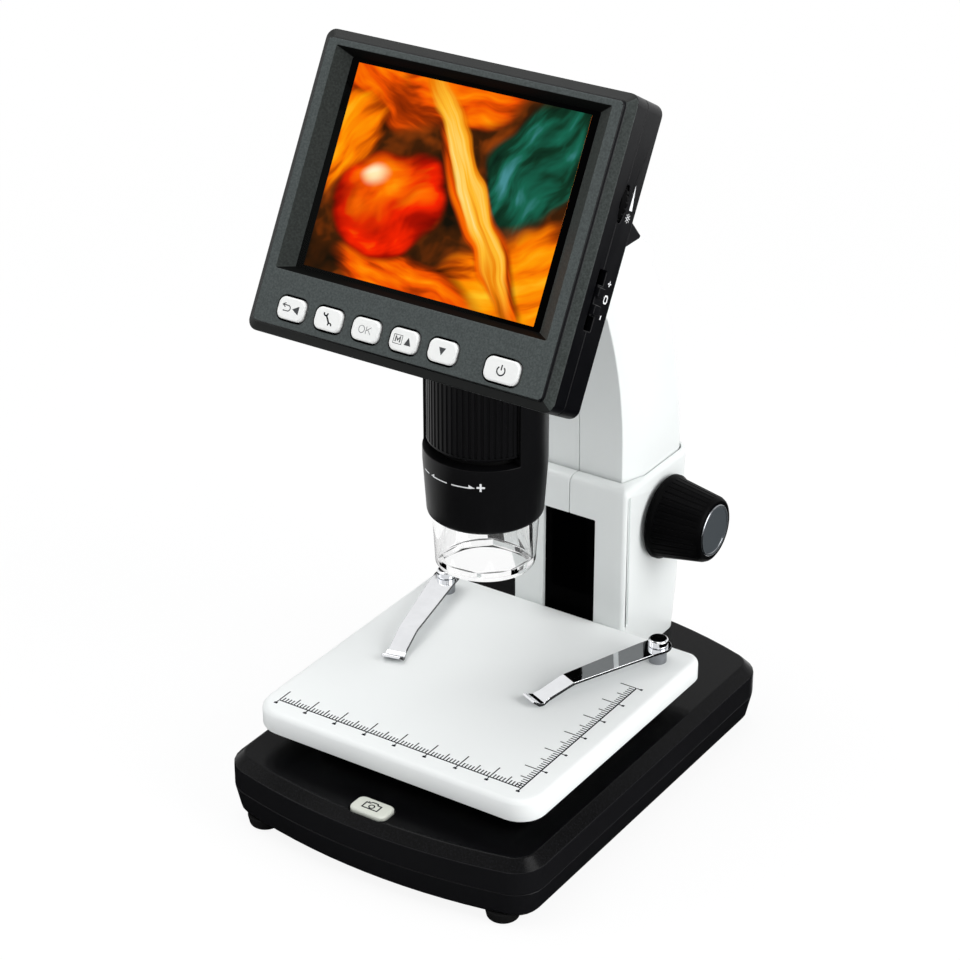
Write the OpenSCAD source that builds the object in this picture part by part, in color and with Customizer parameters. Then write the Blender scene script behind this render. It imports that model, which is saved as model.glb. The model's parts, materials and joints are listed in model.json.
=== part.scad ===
// Desktop microscope with a tilting screen, a rack-and-pinion focus post and a ruled stage.
// +Z is up, +X is the user's right, -Y faces the user. The origin is on the table, under the middle
// of the whole part's box.

/* [Base] */
// Width of the base
base_w = 101.2; // [99:0.2:110]
// Depth of the base
base_d = 142.4; // [141:0.2:160]
// Radius of the bowed front edge
front_bow_r = 185; // [150:1:260]
// Radius of the bowed rear edge
rear_bow_r = 138; // [120:1:260]
// Radius of the base's upright corners
base_corner_r = 9; // [5:0.5:12]
// Height of the base's top deck above the table
deck_z = 21.5; // [20:0.5:28]
// Height of the joint between the two base shells
base_seam_z = 11.5; // [10:0.5:13]
// Width and height of the deck's chamfer
deck_chamfer = 3; // [1.5:0.5:4]
// Inward draft of the lower shell
belly_draft = 1.6; // [0.5:0.1:2.4]
// Wall of the base shells
base_wall = 2.2; // [1.6:0.2:2.6]
// Height of the rubber feet below the lower shell
foot_h = 3; // [2:0.1:3.5]
// Radius of a rubber foot
foot_r = 5; // [4:0.5:6]

/* [Stage] */
// Width of the stage plate
stage_w = 92; // [90:0.5:96]
// Distance of the stage's front edge behind the base's front edge
stage_set = 13.6; // [13:0.1:16]
// Height of the stage surface above the table
stage_z = 35; // [34:0.5:40]
// Thickness of the stage plate
stage_t = 7; // [6:0.5:8]
// Radius of the stage plate's front corners
stage_corner_r = 8; // [4:0.5:12]
// Radius of the stage plate's rear corners
stage_rear_r = 4.5; // [3:0.5:12]
// Distance that the pedestal stands back from the edge of the plate
pedestal_inset = 12; // [10:0.5:13]
// Distance of each clip stud from the middle
clip_x = 36.3; // [34:0.1:38]
// Distance of the clip studs in front of the post
clip_back = 9.7; // [9:0.1:12]
// Length of a clip from its stud to its bend
clip_reach = 30.8; // [26:0.2:34]
// Thickness of the spring leaf
clip_t = 0.8; // [0.5:0.1:1]
// Angle of the left clip at rest
clip_left_deg = 13; // [5:1:25]
// Angle of the right clip at rest
clip_right_deg = 24; // [5:1:30]

/* [Focus post] */
// Width of the fixed post
post_w = 38; // [38:0.2:42]
// Distance of the post's front face in front of the base's rear edge
post_set = 36.2; // [34:0.2:38]
// Depth of the post at its top
post_d = 40.3; // [40:0.1:41]
// Radius of the post's rear corners at its top
post_rear_r = 9; // [7:0.5:10]
// How far the rear face leans in towards the deck
post_lean = 8.8; // [4:0.1:9.4]
// Height of the post's top ledge above the table
post_top = 79.5; // [78:0.5:86]
// Wall of the post shells
post_wall = 1.6; // [1.4:0.1:1.6]
// Width of the window in the post's front face
window_w = 17.4; // [12:0.2:18]
// Height of the window above the stage
window_h = 32.7; // [20:0.1:34]
// Width of the upright panel groove
groove_w = 1.3; // [0.6:0.1:1.4]

/* [Focus drive] */
// Distance of the focus shaft behind the post's front face
shaft_back = 20.7; // [20.4:0.1:21]
// Height of the focus shaft above the stage
shaft_up = 28.5; // [26:0.1:29]
// Radius of the focus shaft
shaft_r = 3; // [2.5:0.1:3]
// Number of teeth on the focus pinion
pinion_teeth = 16; // [16:1:17]
// Module of the pinion and rack
tooth_module = 0.75; // [0.7:0.05:0.75]
// Radius of a guide rod
rod_r = 2; // [1.5:0.1:2.2]
// Distance of each guide rod from the middle
rod_x = 9; // [8:0.1:10]
// Radius of a knob at its large end
knob_big_r = 12.65; // [11:0.05:13]
// Radius of a knob at its small end
knob_small_r = 9.9; // [8:0.1:10]
// Length of a knob
knob_l = 16.6; // [12:0.1:20]
// Number of grip ribs round a knob
knob_ribs = 36; // [20:1:44]
// Radius of the disc in the end of a knob
knob_disc_r = 7.8; // [5:0.1:8]

/* [Arm] */
// Width of the arm
arm_w = 34; // [33:0.2:34]
// Width of the arm's front face
arm_face_w = 28.8; // [24:0.2:30]
// Depth of the arm where it enters the post
arm_d = 32.3; // [32:0.1:32.6]
// Height of the arm's top above the post's top
arm_rise = 75.7; // [75:0.1:80]
// Radius of the arm's forward curve at its front
arm_front_curve_r = 118; // [110:1:150]
// Radius of the arm's forward curve at its rear
arm_rear_curve_r = 126; // [120:1:150]
// Wall of the arm shells
arm_wall = 1.9; // [1.5:0.1:2]

/* [Head and barrel] */
// Width of the camera head
head_w = 35.6; // [35:0.2:37]
// Height of the camera head
head_h = 14.5; // [12:0.5:15]
// Distance of the barrel's axis in front of the arm's top
barrel_reach = 26.68; // [25.5:0.02:28]
// Outer radius of the barrel
barrel_r = 17.15; // [16.5:0.05:17.4]
// Height of the barrel's lower end above the stage
barrel_bottom_up = 54; // [50:0.5:56]
// Height of the ring window's lower edge above the stage
ring_window_up = 74; // [72:0.5:76]
// Height of the magnification ring
ring_h = 22; // [16:0.5:24]
// Half of the angle that the ring window opens
ring_window_half = 66.5; // [45:0.5:75]
// Outer radius of the magnification ring
ring_r = 16; // [15.5:0.05:16]
// Number of grip ribs round the magnification ring
ring_ribs = 60; // [30:1:72]
// Radius of the inner barrel that the ring turns on
core_r = 13.2; // [12.5:0.1:13.4]
// Length of the clear light shade below the barrel
shade_l = 15.9; // [10:0.1:20]
// Radius of the light shade at its mouth
shade_r = 14; // [13:0.1:14.2]

/* [Screen] */
// Angle of the screen from upright at rest
screen_lean = 29.14; // [20:0.01:35]
// Height of the picture's centre above the head's underside
screen_rise = 32.6; // [32:0.1:34]
// Distance of the picture's centre in front of the barrel's axis
screen_reach = 19; // [18.5:0.1:20]
// Width of the housing beside the picture
screen_side = 11.85; // [11:0.05:14]
// Height of the housing above the picture
screen_head = 7.25; // [6.8:0.05:10]
// Height of the housing below the picture
screen_chin = 19.75; // [19:0.05:23]
// Width of the picture
picture_w = 70.5; // [68:0.1:72]
// Height of the picture
picture_h = 54.1; // [52:0.1:55]
// Height of the front face above the picture
face_n = 3; // [2.4:0.1:3.4]
// Depth of the housing's back behind the picture
back_n = 15.4; // [14:0.1:16]
// Depth of the housing's seam behind the picture
seam_n = 5.2; // [4.6:0.1:6]
// Wall of the screen shells
screen_wall = 1.8; // [1.4:0.1:2]
// Pitch of the round-cornered keys
key_pitch = 11.75; // [10.5:0.05:12]
// Width of a key
key_w = 8.3; // [7:0.1:9.4]
// Height of a key
key_h = 5.9; // [5:0.1:6.4]
// Width of the power key
power_key_w = 10.1; // [9:0.1:11]
// How far the keys stand above the face
key_proud = 0.7; // [0.5:0.1:1]
// Gap all round a key
key_gap = 0.5; // [0.3:0.05:0.6]
// Radius of the screen's hinge pins
hinge_pin_r = 1.5; // [1.2:0.1:1.8]

/* [Hidden] */
$fn = 48;

eps = 0.01;
fit = 0.05;          // radial clearance of a running or sliding fit
seam_half = 0.08;    // half of the visible line between two shells
screw_r = 1.5;
screw_hole_r = screw_r + 0.05;
screw_head_r = 2.75;
screw_head_h = 1.6;

// Heights and depths that follow from the sizes above
base_y = -2.05;         // the base's middle, in front of the middle of the whole part
post_front = base_y + base_d / 2 - post_set;
belly_z = foot_h;
stage_under = stage_z - stage_t;
stage_back = post_front;
stage_front = base_y - base_d / 2 + stage_set;
stage_d = stage_back - stage_front;
stage_mid_y = (stage_front + stage_back) / 2;
pedestal_r = 5;
pedestal_x = stage_w / 2 - pedestal_inset;
pedestal_front = stage_front + pedestal_inset;
pedestal_back = stage_back - 0.3;
deck_under = deck_z - base_wall;
arm_front = post_front + 5.1;
arm_back = arm_front + arm_d;
arm_top = post_top + arm_rise;
arm_front_z = post_top + 6.5;           // where the arm's faces leave the upright
arm_rear_z = post_top - 3.5;
barrel_y = arm_y0(arm_top) - barrel_reach;
skirt_z = post_top - 25;
shaft_y = post_front + shaft_back;
shaft_z = stage_z + shaft_up;
pinion_pitch_r = pinion_teeth * tooth_module / 2;
addendum = tooth_module;
dedendum = 1.25 * tooth_module;
mesh_gap = 0.2;
rack_pitch_y = shaft_y - pinion_pitch_r - mesh_gap;
rod_y = arm_front + 6;
head_z = arm_top + 0.3;
screen_y = barrel_y - screen_reach;
screen_z = head_z + screen_rise;
screen_w = picture_w + 2 * screen_side;
screen_up = picture_h / 2 + screen_head;
screen_down = picture_h / 2 + screen_chin;
barrel_bottom = stage_z + barrel_bottom_up;
ring_window_z = stage_z + ring_window_up;
ring_z = ring_window_z + 2;
barrel_in_r = ring_r + 0.35;
hinge_u = -25;                          // hinge axis below the picture's centre
hinge_off = 6;                          // hinge axis behind the back of the housing
hinge_y = screen_y + hinge_u * sin(screen_lean) + (back_n + hinge_off) * cos(screen_lean);
hinge_z = screen_z + hinge_u * cos(screen_lean) - (back_n + hinge_off) * sin(screen_lean);
ear_in = 13;
ear_out = head_w / 2;
ear_r = 4.8;
lug_in = ear_out + 0.4;
lug_out = lug_in + 5;
key_row = -picture_h / 2 - 11.95;
key_first = -33.05;
power_key_u = key_first + 4 * key_pitch + 17.95;
stud_y = post_front - clip_back;

// ---------------------------------------------------------------- shared helpers

// Points of an arc, from angle a0 to a1 in n steps
function arc(cx, cy, r, a0, a1, n = 6) =
    [for (i = [0:n]) let(a = a0 + (a1 - a0) * i / n) [cx + r * cos(a), cy + r * sin(a)]];

// A rectangle with rounded corners; the front pair (low y) and rear pair have their own radius
function round_rect(x0, x1, y0, y1, rf, rr, n = 6) = concat(
    arc(x0 + rf, y0 + rf, rf, 180, 270, n), arc(x1 - rf, y0 + rf, rf, 270, 360, n),
    arc(x1 - rr, y1 - rr, rr, 0, 90, n), arc(x0 + rr, y1 - rr, rr, 90, 180, n));

function at_z(pts, z) = [for (p = pts) [p[0], p[1], z]];

// A closed solid through a stack of rings, each with as many points, anticlockwise from above
module loft(rings) {
    n = len(rings[0]);
    m = len(rings);
    polyhedron(
        points = [for (r = rings) for (p = r) p],
        faces = concat(
            [[for (i = [0:n - 1]) i]],
            [[for (i = [n - 1:-1:0]) (m - 1) * n + i]],
            [for (k = [0:m - 2]) for (i = [0:n - 1])
                [k * n + i, (k + 1) * n + i, (k + 1) * n + (i + 1) % n]],
            [for (k = [0:m - 2]) for (i = [0:n - 1])
                [k * n + i, (k + 1) * n + (i + 1) % n, k * n + (i + 1) % n]]),
        convexity = 6);
}

// A box between two corners
module block(a, b) {
    translate(a) cube([b[0] - a[0], b[1] - a[1], b[2] - a[2]]);
}

// A cylinder along X between x0 and x1
module rod_along_x(x0, x1, y, z, r) {
    translate([x0, y, z]) rotate([0, 90, 0]) cylinder(h = x1 - x0, r = r);
}

module tube(z0, z1, r_out, r_in) {
    translate([0, 0, z0]) difference() {
        cylinder(h = z1 - z0, r = r_out);
        translate([0, 0, -1]) cylinder(h = z1 - z0 + 2, r = r_in);
    }
}

// A screw standing head down, its head's underside at z = 0 and its tip at z = length
module screw(length) {
    translate([0, 0, -screw_head_h]) difference() {
        cylinder(h = screw_head_h, r = screw_head_r, $fn = 32);
        translate([-1.9, -0.4, -eps]) cube([3.8, 0.8, 0.7]);
        translate([-0.4, -1.9, -eps]) cube([0.8, 3.8, 0.7]);
    }
    cylinder(h = length, r = screw_r, $fn = 24);
}

// A boss with a blind screw hole that opens downwards
module boss(z0, z1, hole_l) {
    difference() {
        translate([0, 0, z0]) cylinder(h = z1 - z0, r = screw_r + 1.9, $fn = 32);
        translate([0, 0, z0 - eps]) cylinder(h = hole_l, r = screw_hole_r, $fn = 24);
    }
}

// Places children in the screen's own frame: x right, y up the screen, z out of the screen
module on_screen() {
    translate([0, screen_y, screen_z]) rotate([90 - screen_lean, 0, 0]) children();
}

// ---------------------------------------------------------------- base

// Plan of the base, pulled in by inset
function base_plan(inset) =
    let(w = base_w / 2 - inset, rf = front_bow_r - inset, rr = rear_bow_r - inset,
        rc = max(base_corner_r - inset, 1),
        yf = base_y + inset - base_d / 2, yr = base_y + base_d / 2 - inset,
        af = asin((w - rc) / (rf - rc)), ar = asin((w - rc) / (rr - rc)),
        cfy = yf + rf - (rf - rc) * cos(af), cry = yr - rr + (rr - rc) * cos(ar))
    concat(
        arc(0, yf + rf, rf, 270 - af, 270 + af, 14), arc(w - rc, cfy, rc, 270 + af + 3, 360, 5),
        arc(w - rc, cry, rc, 0, 90 - ar - 3, 5), arc(0, yr - rr, rr, 90 - ar, 90 + ar, 14),
        arc(rc - w, cry, rc, 90 + ar + 3, 180, 5), arc(rc - w, cfy, rc, 180, 270 - af - 3, 5));

// Where the base's screws and feet stand
base_screw_spots = [for (x = [-1, 1]) for (y = [-1, 1])
    [x * (base_w / 2 - 13.5), base_y + y * (base_d / 2 - 26)]];
foot_spots = [for (x = [-1, 1]) for (y = [-1, 1])
    [x * (base_w / 2 - 10.8), base_y + y * (base_d / 2 - 10.4)]];
stage_screw_spots = [for (x = [-1, 1]) for (y = [-1, 1])
    [x * (pedestal_x - 8), stage_mid_y + y * (stage_d / 2 - pedestal_inset - 9)]];
button_w = 11.6;
button_d = 6.6;
button_y = base_y + deck_chamfer - base_d / 2 + button_d / 2 + 0.3;
button_proud = 0.9;
button_gap = 0.35;

module base_top_shell() {
    color([0.07, 0.07, 0.075]) difference() {
        union() {
            difference() {
                loft([at_z(base_plan(0), base_seam_z), at_z(base_plan(0), deck_z - deck_chamfer),
                      at_z(base_plan(deck_chamfer), deck_z)]);
                loft([at_z(base_plan(base_wall), base_seam_z - 1),
                      at_z(base_plan(base_wall), deck_under - deck_chamfer),
                      at_z(base_plan(base_wall + deck_chamfer), deck_under)]);
            }
            // pedestal that carries the stage plate
            difference() {
                loft([at_z(round_rect(-pedestal_x, pedestal_x, pedestal_front, pedestal_back,
                                      pedestal_r, pedestal_r), deck_z - 1),
                      at_z(round_rect(-pedestal_x, pedestal_x, pedestal_front, pedestal_back,
                                      pedestal_r, pedestal_r), stage_under)]);
                block([base_wall - pedestal_x, pedestal_front + base_wall, deck_z - 2],
                      [pedestal_x - base_wall, pedestal_back - base_wall, stage_under - base_wall]);
            }
            for (p = base_screw_spots) translate([p[0], p[1], 0]) boss(base_seam_z, deck_z - 1, 7);
            // sockets for the guide rods
            for (x = [-rod_x, rod_x]) translate([x, rod_y, deck_under - 6])
                cylinder(h = 16, r = rod_r + 2, $fn = 32);
            button_guide();
        }
        block([base_wall - pedestal_x, pedestal_front + base_wall, deck_under - 1],
              [pedestal_x - base_wall, pedestal_back - base_wall - 1, deck_z + 1]);
        for (p = stage_screw_spots) translate([p[0], p[1], stage_under - 4])
            cylinder(h = 5, r = screw_r + 0.2, $fn = 24);
        for (x = [-rod_x, rod_x]) translate([x, rod_y, deck_under - 4]) cylinder(h = 20, r = rod_r);
        button_hole(button_gap, deck_under - 3.5);
        for (p = post_screw_spots) translate([p[0], p[1], deck_under - 1])
            cylinder(h = base_wall + 2, r = screw_r + 0.2, $fn = 24);
    }
}

// The slot in the deck that the shutter button slides in
module button_hole(gap, z0) {
    translate([0, button_y, z0]) linear_extrude(height = deck_z + 2 - z0)
        polygon(round_rect(-button_w / 2 - gap, button_w / 2 + gap, -button_d / 2 - gap,
                           button_d / 2 + gap, 1.8 + gap, 1.8 + gap));
}

module button_guide() {
    translate([0, button_y, deck_under - 3]) linear_extrude(height = 3 + eps)
        polygon(round_rect(-button_w / 2 - 1.8, button_w / 2 + 1.8, -button_d / 2 - 0.6,
                           button_d / 2 + 1.8, 0.5, 2.5));
}

post_boss_r = 3.2;
post_screw_spots = [for (x = [-1, 1]) for (y = [post_front + 5.4, post_front + 26])
    [x * (post_w / 2 - post_wall - post_boss_r + 0.6), y]];

module base_bottom_shell() {
    color([0.07, 0.07, 0.075]) difference() {
        union() {
            difference() {
                loft([at_z(base_plan(belly_draft + 1.2), belly_z),
                      at_z(base_plan(belly_draft), belly_z + 1.2), at_z(base_plan(0), base_seam_z)]);
                loft([at_z(base_plan(base_wall + belly_draft), belly_z + base_wall),
                      at_z(base_plan(base_wall), base_seam_z + 1)]);
            }
            for (p = base_screw_spots) translate([p[0], p[1], belly_z + 1])
                cylinder(h = base_seam_z - belly_z - 1, r = screw_r + 2.6, $fn = 32);
            // pillar under the shutter board
            block([-5, button_y - 3, belly_z + 1], [5, button_y + 3, board_z]);
        }
        for (p = base_screw_spots) translate([p[0], p[1], 0]) {
            translate([0, 0, -1]) cylinder(h = 20, r = screw_r + 0.2, $fn = 24);
            cylinder(h = belly_z + base_wall + 1.2, r = screw_head_r + 0.3, $fn = 32);
        }
        for (p = foot_spots) translate([p[0], p[1], belly_z - 1]) cylinder(h = 1.6, r = foot_r, $fn = 40);
    }
}

module rubber_feet() {
    color([0.05, 0.05, 0.05]) for (p = foot_spots) translate([p[0], p[1], 0]) rotate_extrude($fn = 40)
        polygon([[0, 0], [foot_r - 1.2, 0], [foot_r - 0.5, 0.6], [foot_r, belly_z], [foot_r, belly_z + 0.6],
                 [0, belly_z + 0.6]]);
}

module ballast_plate() {
    color([0.5, 0.5, 0.52])
        block([24.6 - base_w / 2, base_y + 2, belly_z + base_wall],
              [base_w / 2 - 24.6, base_y + base_d / 2 - 31.2, belly_z + base_wall + 3]);
}

module base_screws() {
    color([0.6, 0.6, 0.6]) {
        for (p = base_screw_spots) translate([p[0], p[1], belly_z + base_wall + 1.2]) screw(9.5);
        for (p = post_screw_spots) translate([p[0], p[1], deck_under]) screw(9);
    }
}

board_z = deck_z - 11.5;

module shutter_board() {
    color([0.1, 0.35, 0.2]) {
        block([-9, button_y - 3.4, board_z], [9, button_y + 5, board_z + 1.2]);
        block([-3, button_y - 3, board_z + 1.2], [3, button_y + 3, board_z + 4.6]);
    }
}

module shutter_button() {
    color([0.86, 0.86, 0.84]) {
        loft([for (s = [[0, deck_under - 2.2], [0, deck_z + button_proud - 0.4],
                        [0.35, deck_z + button_proud]])
              at_z([for (p = round_rect(s[0] - button_w / 2, button_w / 2 - s[0], s[0] - button_d / 2,
                                        button_d / 2 - s[0], 1.8, 1.8)) [p[0], p[1] + button_y]], s[1])]);
        translate([0, button_y, board_z + 5.3])
            cylinder(h = deck_under - 2.2 - board_z - 5.3 + eps, r = 1.6);
    }
}

// ---------------------------------------------------------------- stage

stage_skin = 2.4;

function stage_plan(inset) = round_rect(inset - stage_w / 2, stage_w / 2 - inset, stage_front + inset,
                                        stage_back - inset, stage_corner_r - inset, stage_rear_r - inset, 7);

module stage_plate() {
    color([0.93, 0.94, 0.95]) difference() {
        loft([at_z(stage_plan(0.9), stage_under), at_z(stage_plan(0.3), stage_under + 0.3),
              at_z(stage_plan(0), stage_under + 0.9), at_z(stage_plan(0), stage_z - 1.6),
              at_z(stage_plan(0.2), stage_z - 0.95), at_z(stage_plan(0.62), stage_z - 0.4),
              at_z(stage_plan(1.2), stage_z - 0.1), at_z(stage_plan(1.9), stage_z)]);
        difference() {
            loft([at_z(stage_plan(2.4), stage_under - 1), at_z(stage_plan(2.4), stage_z - stage_skin)]);
            block([-pedestal_x + 1, pedestal_front + 1, stage_under - 2],
                  [pedestal_x - 1, pedestal_back - 1, stage_z]);
            for (x = [-clip_x, clip_x]) translate([x, stud_y, stage_under - 2])
                cylinder(h = stage_t + 2, r = 4.2, $fn = 32);
        }
        for (p = stage_screw_spots) translate([p[0], p[1], stage_under - eps])
            cylinder(h = 4.4, r = screw_hole_r, $fn = 24);
        for (x = [-clip_x, clip_x]) translate([x, stud_y, stage_under - 1])
            cylinder(h = stage_t + 2, r = screw_hole_r);
    }
}

module stage_screws() {
    color([0.6, 0.6, 0.6]) for (p = stage_screw_spots)
        translate([p[0], p[1], stage_under - base_wall]) screw(base_wall + 4);
}

clip_z = stage_z + 4.4;      // underside of the spring leaf at its stud
bend_z = clip_z - 1;         // and where it bends down
stud_top = clip_z + 3.1;
eye_r = 3.9;

module clip_stud(x) {
    color([0.78, 0.78, 0.8]) translate([x, stud_y, 0]) rotate_extrude()
        polygon([[0, stage_under + 0.6], [1.5, stage_under + 0.6], [1.5, stage_z], [2.6, stage_z],
                 [2.6, clip_z - 0.1], [1.9, clip_z - 0.1], [1.9, clip_z + clip_t + 0.1],
                 [2.75, clip_z + clip_t + 0.1], [2.9, clip_z + clip_t + 0.3], [2.9, stud_top - 0.4],
                 [2.5, stud_top], [0, stud_top]]);
}

module clip_stud_left() { clip_stud(-clip_x); }
module clip_stud_right() { clip_stud(clip_x); }

// A bent spring leaf; it points along -Y from its stud before it is turned
module clip_leaf() {
    touch = clip_reach + 10;
    low = stage_z + 0.25;
    color([0.8, 0.8, 0.82]) difference() {
        intersection() {
            translate([-6, 0, 0]) rotate([90, 0, 90]) linear_extrude(height = 12) polygon([
                [5, clip_z], [5, clip_z + clip_t], [-4.4, clip_z + clip_t], [-clip_reach, bend_z + clip_t],
                [-clip_reach - 1.2, bend_z + clip_t - 0.3], [0.9 - touch, low + clip_t + 0.45],
                [-touch, low + clip_t], [-touch - 1.4, low + clip_t + 0.35],
                [-touch - 3.1, low + clip_t + 1.5], [-touch - 3.6, low + clip_t + 0.9],
                [-touch - 1.7, low - 0.1 + clip_t * 0.4], [-touch, low], [-touch + 1.1, low + 0.3],
                [-clip_reach - 0.6, bend_z - 0.25], [-clip_reach + 0.5, bend_z], [-4.4, clip_z]]);
            union() {
                translate([0, 0, stage_z]) cylinder(h = 10, r = eye_r);
                translate([0, 0, stage_z]) linear_extrude(height = 10)
                    polygon([[-eye_r, 0], [-2.8, -clip_reach], [-2.6, 2 - touch], [-3.2, -touch - 0.8],
                             [-3.2, -touch - 2.4], [-2.3, -touch - 4], [2.3, -touch - 4],
                             [3.2, -touch - 2.4], [3.2, -touch - 0.8], [2.6, 2 - touch],
                             [2.8, -clip_reach], [eye_r, 0]]);
            }
        }
        translate([0, 0, clip_z - 1]) cylinder(h = clip_t + 2, r = 1.9 + fit);
    }
}

module clip_left() { translate([-clip_x, stud_y, 0]) rotate([0, 0, clip_left_deg]) clip_leaf(); }
module clip_right() { translate([clip_x, stud_y, 0]) rotate([0, 0, -clip_right_deg]) clip_leaf(); }

// ---------------------------------------------------------------- post

// Share of the post's height that lies above a level: 0 at its top, 1 at the deck
function post_share(z) = (post_top - z) / (post_top - deck_z);
function post_back(z) = post_front + post_d - post_lean * pow(post_share(z), 1.47);
function post_corner(z) = post_rear_r - 5 * post_share(z);
function post_plan(inset, z) = at_z(round_rect(inset - post_w / 2, post_w / 2 - inset, post_front + inset,
    post_back(z) - inset, max(1.6 - inset, 0.4), max(post_corner(z) - inset, 1)), z);
post_levels = [for (i = [0:5]) deck_z + (post_top - 10 - deck_z) * i / 5];

module post_half(side) {
    color([0.92, 0.93, 0.94]) difference() {
        union() {
            difference() {
                loft(concat([for (z = post_levels) post_plan(0, z)],
                            [post_plan(0, post_top - 2), post_plan(0.3, post_top - 1.1),
                             post_plan(0.9, post_top - 0.4), post_plan(1.8, post_top)]));
                loft(concat([at_z(post_plan(post_wall, deck_z), deck_z - 1)],
                            [for (z = post_levels) post_plan(post_wall, z + eps)]));
            }
            for (p = post_screw_spots) translate([p[0], p[1], deck_z])
                cylinder(h = 9, r = post_boss_r, $fn = 32);
        }
        // the mouth that the arm slides through
        loft([for (z = [post_top - 11, post_top + 1]) at_z(arm_plan(-0.35, arm_front, arm_back), z)]);
        block([-window_w / 2, post_front - 1, stage_z - 2],
              [window_w / 2, post_front + post_wall + 1, stage_z + window_h]);
        for (x = [-1, 1]) translate([x * post_w / 2 - 0.8, post_front + 1.4, stage_z])
            cube([1.6, groove_w, post_top - 2.6 - stage_z]);
        rod_along_x(-post_w, post_w, shaft_y, shaft_z, bush_r);
        for (p = post_screw_spots) translate([p[0], p[1], deck_z - 1])
            cylinder(h = 8, r = screw_hole_r, $fn = 24);
        // the other half's share
        translate([side > 0 ? seam_half - 50 : -seam_half, 0, 0]) cube([50, 200, 200]);
    }
}

module post_left_shell() { post_half(-1); }
module post_right_shell() { post_half(1); }

module post_window() {
    color([0.04, 0.04, 0.045])
        block([-window_w / 2 - 2, post_front + post_wall, stage_z - 4],
              [window_w / 2 + 2, post_front + post_wall + 1, stage_z + window_h + 1.5]);
}

module guide_rods() {
    color([0.75, 0.75, 0.77]) for (x = [-rod_x, rod_x]) translate([x, rod_y, deck_under - 4])
        cylinder(h = post_top + 14 - deck_under, r = rod_r);
}

// ---------------------------------------------------------------- focus drive

bush_r = shaft_r + 1.6;
knob_in = post_w / 2 + 1;

module shaft_bushes() {
    color([0.72, 0.6, 0.3]) for (s = [0, 1]) mirror([s, 0, 0]) difference() {
        union() {
            rod_along_x(post_w / 2 - post_wall, post_w / 2, shaft_y, shaft_z, bush_r);
            rod_along_x(post_w / 2, post_w / 2 + 0.7, shaft_y, shaft_z, bush_r + 1.5);
        }
        rod_along_x(0, post_w, shaft_y, shaft_z, shaft_r + fit);
    }
}

module focus_shaft() {
    color([0.75, 0.75, 0.77])
        rod_along_x(-knob_in - knob_l + 4, knob_in + knob_l - 4, shaft_y, shaft_z, shaft_r);
}

// One tooth of the pinion, pointing along +X in its own plane
module pinion_tooth() {
    half = PI * tooth_module / 4 - 0.1;
    r0 = pinion_pitch_r - dedendum;
    r1 = pinion_pitch_r + addendum;
    polygon([[r0 - 0.4, -half - 0.28], [pinion_pitch_r - 0.3, -half - 0.08], [pinion_pitch_r, -half],
             [r1 - 0.25, -half + 0.24], [r1, -half + 0.36], [r1, half - 0.36], [r1 - 0.25, half - 0.24],
             [pinion_pitch_r, half], [pinion_pitch_r - 0.3, half + 0.08], [r0 - 0.4, half + 0.28]]);
}

module focus_pinion() {
    color([0.8, 0.8, 0.78]) translate([-3.5, shaft_y, shaft_z]) rotate([0, 90, 0]) difference() {
        // a tooth space faces the rack at rest
        linear_extrude(height = 7) union() {
            circle(r = pinion_pitch_r - dedendum);
            for (i = [0:pinion_teeth - 1]) rotate(90 + (i + 0.5) * 360 / pinion_teeth) pinion_tooth();
        }
        translate([0, 0, -1]) cylinder(h = 9, r = shaft_r);
    }
}

// A knob whose large end is at x = 0
module knob() {
    rotate([90, 0, 90]) difference() {
        rotate_extrude($fn = 64) polygon([
            [0, 0], [knob_big_r - 0.7, 0], [knob_big_r, 0.5], [knob_big_r, 1.5], [knob_big_r - 0.65, 2.6],
            [knob_small_r, knob_l - 1.4], [knob_small_r - 0.5, knob_l - 0.4], [knob_small_r - 1.1, knob_l],
            [knob_disc_r, knob_l], [knob_disc_r, knob_l - 0.9], [0, knob_l - 0.9]]);
        translate([0, 0, -1]) cylinder(h = knob_l - 3, r = shaft_r);
        // grooves between the ribs run along the cone
        slope = atan((knob_big_r - 0.65 - knob_small_r) / (knob_l - 4));
        for (i = [0:knob_ribs - 1]) rotate([0, 0, (i + 0.5) * 360 / knob_ribs])
            translate([knob_big_r - 0.55, 0, 2.6]) rotate([0, -slope, 0])
                translate([0.15, 0, 0]) cylinder(h = knob_l, r = 0.42, $fn = 16);
    }
}

module knob_right() {
    color([0.05, 0.05, 0.055]) translate([knob_in, shaft_y, shaft_z]) knob();
}

module knob_left() {
    color([0.05, 0.05, 0.055]) mirror([1, 0, 0]) translate([knob_in, shaft_y, shaft_z]) knob();
}

module knob_disc() {
    translate([knob_in + knob_l - 0.9, shaft_y, shaft_z]) rotate([90, 0, 90]) rotate_extrude($fn = 64)
        polygon([[0, 0], [knob_disc_r, 0], [knob_disc_r, 0.95], [knob_disc_r - 0.3, 1.2],
                 [knob_disc_r - 0.7, 1.2], [knob_disc_r - 0.9, 0.85], [0, 0.85]]);
}

module knob_disc_right() { color([0.35, 0.36, 0.38]) knob_disc(); }
module knob_disc_left() { color([0.35, 0.36, 0.38]) mirror([1, 0, 0]) knob_disc(); }

carriage_z0 = post_top - 23.5;
carriage_z1 = carriage_z0 + 30;
rack_z0 = carriage_z0 - 18;
rack_z1 = carriage_z1 - 4;

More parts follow.
